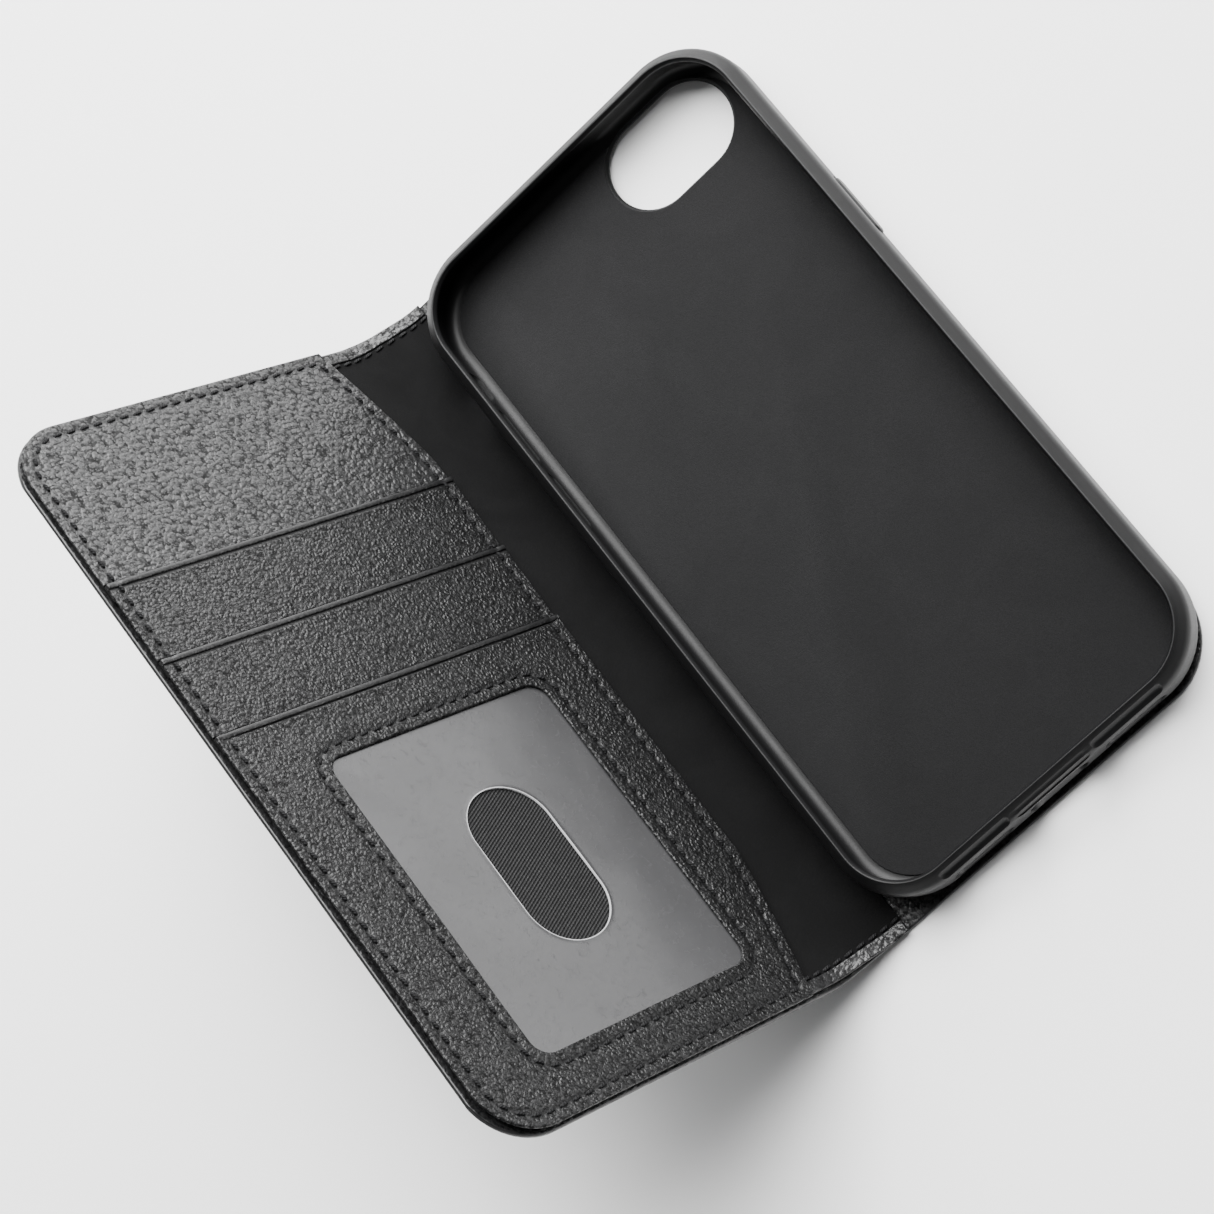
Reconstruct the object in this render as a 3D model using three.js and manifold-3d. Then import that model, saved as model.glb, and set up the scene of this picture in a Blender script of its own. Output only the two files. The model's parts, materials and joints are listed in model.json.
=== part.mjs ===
// Folio wallet case for a phone: a moulded tray in a leather cover with card pockets.
// Millimetres. X runs from the spine to the free edge of the tray, Y up the phone, Z up out of the
// open side of the tray. The tray lies on its leather back at Z = 0, the cover stands open.
import * as THREE from "three";
import { mergeVertices } from "three/addons/utils/BufferGeometryUtils.js";
import Module from "manifold-3d";

// ---- driving dimensions ----
const RIM_HALF_W = 34.9; // inner edge of the tray rim, half width
const RIM_HALF_H = 70.5; // inner edge of the tray rim, half height
const RIM_Z = 11.2; // top of the rim
const FLARE = 2.3; // rim edge to the widest line of the wall
const CAVITY_OVER = 0.95; // how far the cavity reaches under the rim lip
const LIP_REACH = 0.5; // how far the lip comes over the phone, inside the rim edge
const LEATHER_T = 1.0; // outer leather
const FLOOR_Z = 2.3; // inside face of the moulded floor
const CORNER_R = 11.5; // corner radius of the rim edge
const AXIS_Z = 0.8; // fold lines lie this far above the outer face
const SPINE_GAP = 1.7; // tray wall to first fold line
const COVER_R = 11; // free corners of the cover
const FOLD_DEG = 30; // each of the two folds, as it stands open
const STITCH_IN = 2.2; // seam line inside the pocket edge
const SLOT_IN = 33.3; // top of the cover to the lip of the first card slot
const SLOT_PITCH = 16.4; // from the lip of one card slot to the next
const SLOTS = 3;
const WINDOW_STITCH = 2.3; // seam line outside the window
const WINDOW_R = 3.2;
const OVAL_W = 16.6; // thumb opening in the window film
const OVAL_H = 31.0;
const CAMERA_W = 26.0;
const CAMERA_H = 16.8;
const CAMERA_IN_X = 16.6; // rim edge to camera opening middle
const CAMERA_IN_Y = 9.3;
const BUTTON_L = 13.4;
const BUTTON_H = 3.4;
const BUTTON_OUT = 0.75; // proud of the wall
const SWITCH_L = 8.4;
const SWITCH_H = 4.8;
const PORT_L = 16.6; // scoop in the wall around the charging port
const PORT_HOLE_L = 12.6;
const PORT_DEPTH = 2.6; // how far the port's scoop comes down from the rim
const SPEAKER_L = 16.0; // scoop of each of the two speaker openings
const SPEAKER_HOLE_L = 13.0;
const SPEAKER_HOLE_H = 3.0;
const SPEAKER_DEPTH = 2.1;
const SEG = 7; // segments of a rounded corner

// ---- clearances ----
const AIR = 0.05; // between layers that are glued or sewn together
const HINGE_AIR = 0.1; // extra room on each side of a fold line
const BUTTON_AIR = 0.35; // round each button
const SCOOP_APART = 0.5; // between the scoops of the bottom wall
const PORT_EDGE = 0.45; // floor to the port opening
const PORT_BAND = 1.0; // left between the port opening and the scoop above it
const RIM_ROLL = 2.6; // the wall starts to roll in this far below the rim
const SPINE_OVER = 1.8; // the spine is this much longer than the tray is tall
const COVER_OVER_X = 4.6; // the cover reaches over the spine side and the free side
const COVER_OVER_Y = 1.5; // and past each end of the tray
const BACK_OVER_Y = 0.5; // the leather back reaches past each end of the tray
const WINDOW_BELOW_LIP = 10.7;
const WINDOW_ABOVE_EDGE = 10.8;
const WINDOW_FROM_FOLD = 14.65;
const WINDOW_FROM_EDGE = 15.85;
// from the top of the rim edge down to the middle of each
const SWITCH_DOWN = 18.9;
const VOLUME_UP_DOWN = 30.7;
const VOLUME_DOWN_DOWN = 46.3;
const SIDE_BUTTON_DOWN = 43.7;
const OPENING_AIR = 0.5; // the floor lining stands back from the camera opening
const LEATHER_SET_BACK = 0.6; // and so does the outer leather
const THROUGH = 4; // cutters run past a face by this much

// ---- worked out from those ----
const WALL_X = RIM_HALF_W + FLARE;
const WALL_Y = RIM_HALF_H + FLARE;
const FLARE_Z = RIM_Z - RIM_ROLL; // height of the widest line
const SPINE_W = RIM_Z + SPINE_OVER; // between the two fold lines
const COVER_W = 2 * WALL_X + COVER_OVER_X; // second fold line to the free edge
const COVER_HALF_H = WALL_Y + COVER_OVER_Y;
const BACK_HALF_H = WALL_Y + BACK_OVER_Y; // at the tray; the spine spreads it to the cover
const HINGE_X = -(WALL_X + SPINE_GAP);
const FOLD = THREE.MathUtils.degToRad(FOLD_DEG);
const lip = (k) => COVER_HALF_H - SLOT_IN - SLOT_PITCH * k;
const WINDOW_TOP = lip(SLOTS - 1) - WINDOW_BELOW_LIP;
const WINDOW_BOTTOM = -COVER_HALF_H + WINDOW_ABOVE_EDGE;
const WINDOW_TO = COVER_W - WINDOW_FROM_EDGE;
const PORT_HOLE_H = RIM_Z - PORT_DEPTH - PORT_BAND - FLOOR_Z - PORT_EDGE;

// ---- helpers ----
const wasm = await Module();
wasm.setup();
const { Manifold, Mesh: SolidMesh } = wasm;

function solid(geometry) {
  const bare = new THREE.BufferGeometry();
  const flat = geometry.index ? geometry.toNonIndexed() : geometry;
  bare.setAttribute("position", flat.getAttribute("position").clone());
  const merged = mergeVertices(bare, 1e-4);
  return new Manifold(new SolidMesh({
    numProp: 3,
    vertProperties: merged.attributes.position.array,
    triVerts: new Uint32Array(merged.index.array),
  }));
}

function geometryOf(shape) {
  const m = shape.getMesh();
  const g = new THREE.BufferGeometry();
  const v = new Float32Array(m.numVert * 3);
  for (let i = 0; i < m.numVert; i++) {
    v.set(m.vertProperties.subarray(i * m.numProp, i * m.numProp + 3), i * 3);
  }
  g.setAttribute("position", new THREE.BufferAttribute(v, 3));
  g.setIndex(new THREE.BufferAttribute(new Uint32Array(m.triVerts), 1));
  const out = g.toNonIndexed();
  out.computeVertexNormals();
  return out;
}

// Closed outline, anticlockwise, of a rectangle whose four corners have their own radii.
function roundedRect(x0, y0, x1, y1, r, seg = SEG) {
  const rr = Array.isArray(r) ? r : [r, r, r, r];
  const centres = [
    [x1 - rr[0], y1 - rr[0], 0], [x0 + rr[1], y1 - rr[1], 90],
    [x0 + rr[2], y0 + rr[2], 180], [x1 - rr[3], y0 + rr[3], 270],
  ];
  const pts = [];
  centres.forEach(([cx, cy, a0], k) => {
    for (let i = 0; i <= seg; i++) {
      const a = THREE.MathUtils.degToRad(a0 + (90 * i) / seg);
      pts.push(new THREE.Vector2(cx + rr[k] * Math.cos(a), cy + rr[k] * Math.sin(a)));
    }
  });
  return pts;
}

function stadium(cx, cy, w, h, seg = 9) {
  const r = Math.min(w, h) / 2;
  return roundedRect(cx - w / 2, cy - h / 2, cx + w / 2, cy + h / 2, r - 1e-3, seg);
}

// Extrudes an outline, with holes, from z0 to z1.
function plate(points, z0, z1, holes = []) {
  const shape = new THREE.Shape(points);
  for (const h of holes) shape.holes.push(new THREE.Path([...h].reverse()));
  const g = new THREE.ExtrudeGeometry(shape, { depth: z1 - z0, bevelEnabled: false });
  return solid(g.translate(0, 0, z0));
}

function box(x0, x1, y0, y1, z0, z1) {
  const g = new THREE.BoxGeometry(x1 - x0, y1 - y0, z1 - z0);
  return solid(g.translate((x0 + x1) / 2, (y0 + y1) / 2, (z0 + z1) / 2));
}

// Skins a stack of convex outlines with the same number of points, one per height.
function loft(levels) {
  const n = levels[0].pts.length;
  const pos = [];
  const at = (k, i) => [levels[k].pts[i % n].x, levels[k].pts[i % n].y, levels[k].z];
  const tri = (a, b, c) => pos.push(...a, ...b, ...c);
  for (let k = 0; k + 1 < levels.length; k++) {
    for (let i = 0; i < n; i++) {
      tri(at(k, i), at(k, i + 1), at(k + 1, i + 1));
      tri(at(k, i), at(k + 1, i + 1), at(k + 1, i));
    }
  }
  const top = levels.length - 1;
  for (let i = 1; i + 1 < n; i++) {
    tri(at(0, 0), at(0, i + 1), at(0, i));
    tri(at(top, 0), at(top, i), at(top, i + 1));
  }
  const g = new THREE.BufferGeometry();
  g.setAttribute("position", new THREE.BufferAttribute(new Float32Array(pos), 3));
  return solid(g);
}

// A profile in Y (along v) and Z, swept along X.
function sweepX(profile, x0, x1) {
  const shape = new THREE.Shape(profile.map(([y, z]) => new THREE.Vector2(y, z)));
  const g = new THREE.ExtrudeGeometry(shape, { depth: x1 - x0, bevelEnabled: false });
  g.applyMatrix4(new THREE.Matrix4().set(0, 0, 1, x0, 1, 0, 0, 0, 0, 1, 0, 0, 0, 0, 0, 1));
  return solid(g);
}

const paints = {
  leather: [0x2b2b2d, 0.62], leatherBack: [0x252527, 0.62], shell: [0x1b1b1c, 0.55],
  suede: [0x161617, 0.95], twill: [0x1a1a1b, 0.9], board: [0x8a7f6c, 0.9],
  film: [0x8d8f92, 0.35], thread: [0x101011, 0.8], button: [0x202021, 0.55],
};
function mesh(name, shape, paint) {
  const [color, roughness] = paints[paint];
  const m = new THREE.Mesh(geometryOf(shape), new THREE.MeshStandardMaterial({ color, roughness }));
  m.name = name;
  return m;
}

// ---- tray ----
// Tray outlines are the rim edge grown by g, so every level keeps the same corner centres.
const ring = (g) => roundedRect(
  -RIM_HALF_W - g, -RIM_HALF_H - g, RIM_HALF_W + g, RIM_HALF_H + g, CORNER_R + g);
const shellBase = LEATHER_T + AIR;
const FLOOR_FILLET = 2.0; // rounding between the floor and the wall
const RIM_EDGE = 0.25; // outer side of the thin rim edge
// Both profiles are lists of [height, growth], from the bottom to the top.
const outerWall = [
  [shellBase, FLARE - 1.9], [shellBase + 0.7, FLARE - 0.9], [shellBase + 2.2, FLARE - 0.15],
  [shellBase + 4, FLARE], [FLARE_Z, FLARE], [FLARE_Z + 1.0, FLARE - 0.55],
  [RIM_Z - 0.45, 3 * RIM_EDGE], [RIM_Z, RIM_EDGE],
];
const cavity = [
  [FLOOR_Z, CAVITY_OVER - FLOOR_FILLET],
  [FLOOR_Z + 0.3 * FLOOR_FILLET, CAVITY_OVER - 0.45 * FLOOR_FILLET],
  [FLOOR_Z + 0.95 * FLOOR_FILLET, CAVITY_OVER], [FLARE_Z, CAVITY_OVER],
  [RIM_Z - 1.5, 0.6 - LIP_REACH], [RIM_Z - 0.75, -LIP_REACH],
  [RIM_Z - 0.3, -0.5 * LIP_REACH], [RIM_Z + 0.4, 0.2 * LIP_REACH],
];
const cameraX = RIM_HALF_W - CAMERA_IN_X;
const cameraY = RIM_HALF_H - CAMERA_IN_Y;
const wallMidZ = (shellBase + FLARE_Z) / 2 + 0.6; // buttons sit a little above the middle
const holeMidZ = FLOOR_Z + PORT_EDGE + PORT_HOLE_H / 2;

// Stadium-section cutter or pad that runs along Y, with its width along X from x0 to x1.
function sidePad(yMid, length, height, x0, x1) {
  const pts = stadium(0, 0, length, height, 5);
  const g = new THREE.ExtrudeGeometry(new THREE.Shape(pts), { depth: x1 - x0, bevelEnabled: false });
  g.applyMatrix4(new THREE.Matrix4().set(
    0, 0, 1, x0, 1, 0, 0, yMid, 0, 1, 0, wallMidZ, 0, 0, 0, 1));
  return solid(g);
}
// Extrudes an outline in X and Z along -Y, from the rim edge moved in by inset.
function bottomCutter(pts, inset, length) {
  const g = new THREE.ExtrudeGeometry(new THREE.Shape(pts), { depth: length, bevelEnabled: false });
  g.applyMatrix4(new THREE.Matrix4().set(
    1, 0, 0, 0, 0, 0, -1, -RIM_HALF_H + inset, 0, 1, 0, 0, 0, 0, 0, 1));
  return solid(g);
}

// Scoop out of the flare of the bottom wall, open at the top, with rounded lower corners.
// The rim lip stays whole behind it.
function bottomNotch(xMid, length, depth) {
  const r = depth * 0.62;
  const sharp = 0.01;
  const pts = roundedRect(xMid - length / 2, RIM_Z - depth, xMid + length / 2, RIM_Z + THROUGH,
    [sharp, sharp, r, r], 4);
  return bottomCutter(pts, RIM_EDGE - 0.6, FLARE + THROUGH);
}

// Slot with round ends through the bottom wall.
function bottomHole(xMid, length, height) {
  const pts = stadium(xMid, holeMidZ, length, height, 5);
  return bottomCutter(pts, 3, FLARE + THROUGH + 3);
}

let shell = loft(outerWall.map(([z, g]) => ({ z, pts: ring(g) })));
shell = shell.subtract(loft(cavity.map(([z, g]) => ({ z, pts: ring(g) }))));
shell = shell.subtract(plate(stadium(cameraX, cameraY, CAMERA_W, CAMERA_H), 0, FLOOR_Z + THROUGH));
const buttons = [
  ["volume_up_button", -1, RIM_HALF_H - VOLUME_UP_DOWN],
  ["volume_down_button", -1, RIM_HALF_H - VOLUME_DOWN_DOWN],
  ["side_button", 1, RIM_HALF_H - SIDE_BUTTON_DOWN],
];
for (const [, side, y] of buttons) {
  const a = side * (WALL_X + THROUGH);
  const b = side * (WALL_X - THROUGH);
  shell = shell.subtract(sidePad(
    y, BUTTON_L + 2 * BUTTON_AIR, BUTTON_H + 2 * BUTTON_AIR, Math.min(a, b), Math.max(a, b)));
}
// switch opening, with a step round it on the outside
const SWITCH_STEP = 0.55;
const switchY = RIM_HALF_H - SWITCH_DOWN;
shell = shell.subtract(
  sidePad(switchY, SWITCH_L, SWITCH_H, -WALL_X - THROUGH, -WALL_X + THROUGH));
shell = shell.subtract(sidePad(
  switchY, SWITCH_L + 1.6, SWITCH_H + 1.2, -WALL_X - THROUGH, -WALL_X + SWITCH_STEP));
// bottom openings: a hole through the wall and a scoop in the flare above it
const speakerX = (PORT_L + SPEAKER_L) / 2 + SCOOP_APART;
const bottomOpenings = [
  [0, PORT_L, PORT_DEPTH, PORT_HOLE_L, PORT_HOLE_H],
  [-speakerX, SPEAKER_L, SPEAKER_DEPTH, SPEAKER_HOLE_L, SPEAKER_HOLE_H],
  [speakerX, SPEAKER_L, SPEAKER_DEPTH, SPEAKER_HOLE_L, SPEAKER_HOLE_H],
];
for (const [x, scoopL, depth, holeL, holeH] of bottomOpenings) {
  shell = shell.subtract(bottomNotch(x, scoopL, depth));
  shell = shell.subtract(bottomHole(x, holeL, holeH));
}

// Camera opening in a layer that stands back from the edge of the hole in the shell.
const cameraHole = (back) => stadium(cameraX, cameraY, CAMERA_W + 2 * back, CAMERA_H + 2 * back);
const LINING_T = 0.45;
const liningGrowth = CAVITY_OVER - FLOOR_FILLET - 0.35; // clear of the fillet round the floor
const floorLining = plate(ring(liningGrowth), FLOOR_Z + AIR, FLOOR_Z + AIR + LINING_T)
  .subtract(plate(cameraHole(OPENING_AIR), 0, FLOOR_Z + THROUGH));

const hingeGap = AXIS_Z + HINGE_AIR;
const FREE_EDGE_IN = 1.3; // the leather back ends inside the free side of the tray
const BACK_R = 12.5;
const SQUARE_R = 0.3; // corners beside a fold
const backLeather = plate(
  roundedRect(HINGE_X + hingeGap, -BACK_HALF_H, WALL_X - FREE_EDGE_IN, BACK_HALF_H,
    [BACK_R, SQUARE_R, SQUARE_R, BACK_R]),
  0, LEATHER_T, [cameraHole(LEATHER_SET_BACK)]);

const root = new THREE.Group();
root.name = "phone_wallet_case";
const tray = new THREE.Group();
root.add(tray);
tray.add(mesh("tray_shell", shell, "shell"));
tray.add(mesh("floor_lining", floorLining, "suede"));
tray.add(mesh("back_leather", backLeather, "leatherBack"));
const BUTTON_STEP = 0.4; // the face of a button is this much smaller all round than its foot
for (const [name, side, y] of buttons) {
  const a = side * (WALL_X - FLARE + CAVITY_OVER + 0.1);
  const b = side * (WALL_X + BUTTON_OUT * 0.45);
  const c = side * (WALL_X + BUTTON_OUT);
  const base = sidePad(y, BUTTON_L, BUTTON_H, Math.min(a, b), Math.max(a, b));
  const cap = sidePad(y, BUTTON_L - 2 * BUTTON_STEP, BUTTON_H - 2 * BUTTON_STEP,
    Math.min(a, c), Math.max(a, c));
  tray.add(mesh(name, base.add(cap), "button"));
}

// ---- spine: local X runs from the second fold line (-SPINE_W) to the first (0) ----
const spine = new THREE.Group();
spine.position.set(HINGE_X, 0, AXIS_Z);
spine.rotation.y = FOLD;
root.add(spine);
// Outline with ends that spread from the tray to the cover.
function spineOutline(gap, inset) {
  const t = (x) => BACK_HALF_H + (COVER_HALF_H - BACK_HALF_H) * (-x / SPINE_W) - inset;
  const a = -gap;
  const b = -SPINE_W + gap;
  return [[b, -t(b)], [a, -t(a)], [a, t(a)], [b, t(b)]].map(([x, y]) => new THREE.Vector2(x, y));
}
const leatherTop = LEATHER_T - AXIS_Z;
spine.add(mesh("spine_leather",
  plate(spineOutline(hingeGap, 0), -AXIS_Z, leatherTop), "leather"));
const SPINE_LINING_T = 0.55;
const liningTop = leatherTop + AIR + SPINE_LINING_T;
spine.add(mesh("spine_lining",
  plate(spineOutline(hingeGap + AIR, 0.5), leatherTop + AIR, liningTop), "suede"));
const THREAD_W = 0.5;
const SEAM_END = 1.6; // a spine seam stops this far from the fold lines
for (const [name, s] of [["spine_seam_top", 1], ["spine_seam_bottom", -1]]) {
  const y = s * (BACK_HALF_H + 0.3 - STITCH_IN);
  spine.add(mesh(name, box(-SPINE_W + SEAM_END, -SEAM_END, y - THREAD_W / 2, y + THREAD_W / 2,
    liningTop + AIR, liningTop + AIR + 0.3), "thread"));
}

// ---- cover: local X runs from the free edge (-COVER_W) to the second fold line (0) ----
const cover = new THREE.Group();
cover.position.set(-SPINE_W, 0, 0);
cover.rotation.y = FOLD;
spine.add(cover);

// Pocket edge beside the spine: straight in the middle, drawn back towards both ends.
const EDGE_MID = 1.5;
const EDGE_BACK = 6.8;
const EDGE_CURVED = 29.3; // length of the curved part at each end
const edgeStraight = COVER_HALF_H - EDGE_CURVED;
const POCKET_IN = 0.3; // the pocket side ends this far inside the outer leather
function edgeU(v) {
  const t = Math.max(0, (Math.abs(v) - edgeStraight) / EDGE_CURVED);
  return EDGE_MID + EDGE_BACK * Math.pow(t, 1.2);
}
// Outline of the pocket side, drawn in by inset.
function pocketOutline(inset) {
  const h = COVER_HALF_H - POCKET_IN - inset;
  const r = COVER_R - POCKET_IN - inset;
  const u1 = COVER_W - POCKET_IN - inset;
  const pts = [];
  const corner = (cx, cy, a0) => {
    for (let i = 0; i <= SEG; i++) {
      const a = THREE.MathUtils.degToRad(a0 + (90 * i) / SEG);
      pts.push(new THREE.Vector2(cx + r * Math.cos(a), cy + r * Math.sin(a)));
    }
  };
  corner(-u1 + r, h - r, 90);
  corner(-u1 + r, -h + r, 180);
  const steps = 16;
  for (let i = 0; i <= steps; i++) {
    const v = -h + (2 * h * i) / steps;
    pts.push(new THREE.Vector2(-edgeU(v) - inset, v));
  }
  return pts;
}
function slab(inset, w0, w1, holes = []) {
  return plate(pocketOutline(inset), w0, w1, holes);
}
const acrossCover = (v0, v1) => box(-COVER_W - THROUGH, THROUGH, v0, v1, -THROUGH, 2 * THROUGH);
const windowHole = (grow) => roundedRect(
  -WINDOW_TO - grow, WINDOW_BOTTOM - grow, -WINDOW_FROM_FOLD + grow, WINDOW_TOP + grow,
  [WINDOW_R + 2 + grow, WINDOW_R + grow, WINDOW_R + grow, WINDOW_R + grow], 5);

cover.add(mesh("cover_leather", plate(
  roundedRect(-COVER_W, -COVER_HALF_H, -hingeGap, COVER_HALF_H,
    [SQUARE_R, COVER_R, COVER_R, SQUARE_R]),
  -AXIS_Z, leatherTop), "leather"));
const BOARD_T = 0.45;
const BOARD_IN = 2.6;
cover.add(mesh("cover_board", slab(BOARD_IN, leatherTop + AIR, leatherTop + AIR + BOARD_T), "board"));

// Fabric backs of the pockets, one behind each leather strip.
const TWILL_T = 0.12;
const TWILL_IN = 1.0;
const TWILL_ABOVE = 4; // shows this far above the lip in front of it
const liningW = (k) => leatherTop + BOARD_T + 2 * AIR + (TWILL_T + AIR) * k;
for (let k = 0; k < SLOTS; k++) {
  const tab = slab(TWILL_IN, liningW(k), liningW(k) + TWILL_T)
    .intersect(acrossCover(-COVER_HALF_H, lip(k) + TWILL_ABOVE));
  cover.add(mesh("pocket_lining_" + (k + 1), tab, "twill"));
}
// Leather strips overlap like roof tiles: the lower end of each tucks under the next lip.
const STRIP_T = 0.42;
const ROLL = 0.16; // the folded lip is a little thicker than the strip
const ROLL_L = 2.0; // length of the thicker part
const OVERLAP = 3;
const stripLow = liningW(SLOTS) + AIR / 2;
const stripHigh = stripLow + STRIP_T + AIR;
function strip(vLow, vLip, wLow, wLip) {
  const top = wLip + STRIP_T;
  const profile = [
    [vLow, wLow], [vLip - 0.6 * ROLL_L, wLip], [vLip, wLip + 0.25 * ROLL],
    [vLip, top + 0.6 * ROLL], [vLip - 0.2 * ROLL_L, top + ROLL],
    [vLip - 0.6 * ROLL_L, top + 0.6 * ROLL], [vLip - ROLL_L, top], [vLow, wLow + STRIP_T],
  ];
  return sweepX(profile, -COVER_W - THROUGH, THROUGH).intersect(slab(0, 0, 2 * THROUGH));
}
cover.add(mesh("top_panel",
  slab(0, stripLow, stripLow + STRIP_T).intersect(acrossCover(lip(0) - OVERLAP, COVER_HALF_H)),
  "leather"));
for (let k = 0; k + 1 < SLOTS; k++) {
  cover.add(mesh("pocket_panel_" + (k + 1),
    strip(lip(k + 1) - OVERLAP, lip(k), stripLow, stripHigh), "leather"));
}
const FILM_T = 0.3;
const FILM_LAP = 2.2; // the film runs on under the leather round the window
const windowMidU = (WINDOW_FROM_FOLD + WINDOW_TO) / 2;
const windowMidV = (WINDOW_BOTTOM + WINDOW_TOP) / 2;
const windowPanel = strip(-COVER_HALF_H, lip(SLOTS - 1), stripHigh, stripHigh)
  .subtract(plate(windowHole(0), 0, 2 * THROUGH));
cover.add(mesh("window_panel", windowPanel, "leather"));
cover.add(mesh("window_film",
  plate(windowHole(FILM_LAP), stripLow, stripLow + FILM_T,
    [stadium(-windowMidU, windowMidV, OVAL_W, OVAL_H)]),
  "film"));
const THREAD_T = 0.25;
const panelTop = stripHigh + STRIP_T;
const seamW = panelTop + ROLL + AIR;
cover.add(mesh("pocket_seam", plate(pocketOutline(STITCH_IN - THREAD_W / 2), seamW, seamW + THREAD_T)
  .subtract(plate(pocketOutline(STITCH_IN + THREAD_W / 2), 0, 2 * THROUGH)), "thread"));
cover.add(mesh("window_seam", plate(windowHole(WINDOW_STITCH + THREAD_W / 2),
  panelTop + AIR, panelTop + AIR + THREAD_T, [windowHole(WINDOW_STITCH - THREAD_W / 2)]), "thread"));

export default root;
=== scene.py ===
"""Looks of the folio wallet case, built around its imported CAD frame. Metres, same frame as the CAD.

Lengths in this file are millimetres and become metres in build(). On the cover, u runs from the
second fold to the free edge, v up the case and w out of the pocket side.
"""
import json
import math

import bpy
import numpy as np
from mathutils import Matrix, Vector, noise
from mathutils.kdtree import KDTree


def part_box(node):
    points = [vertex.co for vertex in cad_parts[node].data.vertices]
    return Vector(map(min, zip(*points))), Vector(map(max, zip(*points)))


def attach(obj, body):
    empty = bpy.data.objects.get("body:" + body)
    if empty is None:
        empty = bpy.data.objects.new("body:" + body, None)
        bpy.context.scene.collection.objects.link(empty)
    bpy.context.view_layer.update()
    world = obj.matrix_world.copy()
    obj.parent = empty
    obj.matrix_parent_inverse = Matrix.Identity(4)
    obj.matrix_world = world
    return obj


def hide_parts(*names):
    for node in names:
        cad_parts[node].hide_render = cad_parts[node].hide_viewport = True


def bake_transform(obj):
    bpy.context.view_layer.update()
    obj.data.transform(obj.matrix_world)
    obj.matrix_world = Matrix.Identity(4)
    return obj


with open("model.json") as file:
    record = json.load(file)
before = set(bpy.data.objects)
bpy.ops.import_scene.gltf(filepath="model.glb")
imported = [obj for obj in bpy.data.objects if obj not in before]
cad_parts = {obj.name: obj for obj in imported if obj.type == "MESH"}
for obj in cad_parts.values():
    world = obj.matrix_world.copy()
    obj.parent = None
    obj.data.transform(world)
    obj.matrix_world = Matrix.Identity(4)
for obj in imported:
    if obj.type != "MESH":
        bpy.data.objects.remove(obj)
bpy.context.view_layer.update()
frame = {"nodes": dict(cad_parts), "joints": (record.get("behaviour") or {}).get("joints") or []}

MM = 0.001
PITCH = 2.85  # stitch to stitch
STITCH_IN = 2.2  # pocket seam inside the panel edge
WINDOW_STITCH = 2.3
HEM = 2.3  # turned edge of the spine leather
BEND_REACH = 3.0  # how far each fold spreads along the leather
AIR = 0.05  # between layers that are glued together
SHARP = 40.0  # degrees between faces from which an edge is sharp


# ---------------------------------------------------------------- places from the frame
def node_points(node):
    """The vertices of a CAD node, in millimetres."""
    mesh = frame["nodes"][node].data
    co = np.zeros(len(mesh.vertices) * 3)
    mesh.vertices.foreach_get("co", co)
    return co.reshape(-1, 3) / MM


def box_mm(node):
    """Lowest and highest corner of a CAD node."""
    return [np.array(corner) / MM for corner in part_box(node)]


def joint_point(name):
    found = next(j for j in frame["joints"] if j["name"] == name)
    return np.array(found["pos_m"]) / MM


FOLD_A = joint_point("tray_fold")
FOLD_B = joint_point("cover_fold")
FOLD = math.atan2(FOLD_B[2] - FOLD_A[2], FOLD_A[0] - FOLD_B[0])
SPINE_W = math.hypot(FOLD_B[2] - FOLD_A[2], FOLD_A[0] - FOLD_B[0])
ALONG_U = np.array([-math.cos(2 * FOLD), 0, math.sin(2 * FOLD)])
ALONG_W = np.array([math.sin(2 * FOLD), 0, math.cos(2 * FOLD)])


def on_cover(u, v, w):
    """Cover coordinates to the row frame, in millimetres."""
    u, v, w = np.broadcast_arrays(np.asarray(u, float), v, w)
    p = FOLD_B + u[..., None] * ALONG_U + w[..., None] * ALONG_W
    p[..., 1] = v
    return p


def cover_span(node):
    """Lowest and highest u, v, w of a CAD node."""
    d = node_points(node) - FOLD_B
    local = np.stack([d @ ALONG_U, node_points(node)[:, 1], d @ ALONG_W], axis=1)
    return local.min(0), local.max(0)


leather_low, leather_high = cover_span("cover_leather")
COVER_W, COVER_H = leather_high[0], leather_high[1]
OUTSIDE_W, INSIDE_W = leather_low[2], leather_high[2]  # faces of the outer leather
COVER_R = 11.0
BACK_R = 12.5
panel_low, panel_high = cover_span("window_panel")
PANEL_U1, PANEL_H = panel_high[0], -panel_low[1]
PANEL_R = COVER_R - 0.3
EDGE_MID = panel_low[0]
EDGE_BACK, EDGE_STRAIGHT = 6.8, 45.0
LIPS = [cover_span(n)[1][1] for n in ("pocket_panel_1", "pocket_panel_2", "window_panel")]
film_low, film_high = cover_span("window_film")
FILM_LAP = 2.2
WINDOW_MID = (film_low[:2] + film_high[:2]) / 2
WINDOW_HALF = (film_high[:2] - film_low[:2]) / 2 - FILM_LAP
WINDOW_R = 3.4
OVAL_HALF = np.array([8.3, 15.5])

WALL_X, WALL_Y, RIM_Z = box_mm("tray_shell")[1]
FLARE = 2.3
RIM_ROLL = 2.6  # the wall starts to roll in this far below the rim
CAVITY_OVER = 0.95  # the cavity reaches this far under the rim
RIM_X, RIM_Y, RIM_R = WALL_X - FLARE, WALL_Y - FLARE, 11.5
FLOOR_Z = box_mm("floor_lining")[0][2] - AIR
back_high = box_mm("back_leather")[1]
LEATHER_T = back_high[2]
CAMERA_MID = np.array([RIM_X - 16.6, RIM_Y - 9.3])
CAMERA_HALF = np.array([13.0, 8.4])


# ---------------------------------------------------------------- mesh helpers
def shown(obj):
    bpy.context.scene.collection.objects.link(obj)
    return obj


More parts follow.
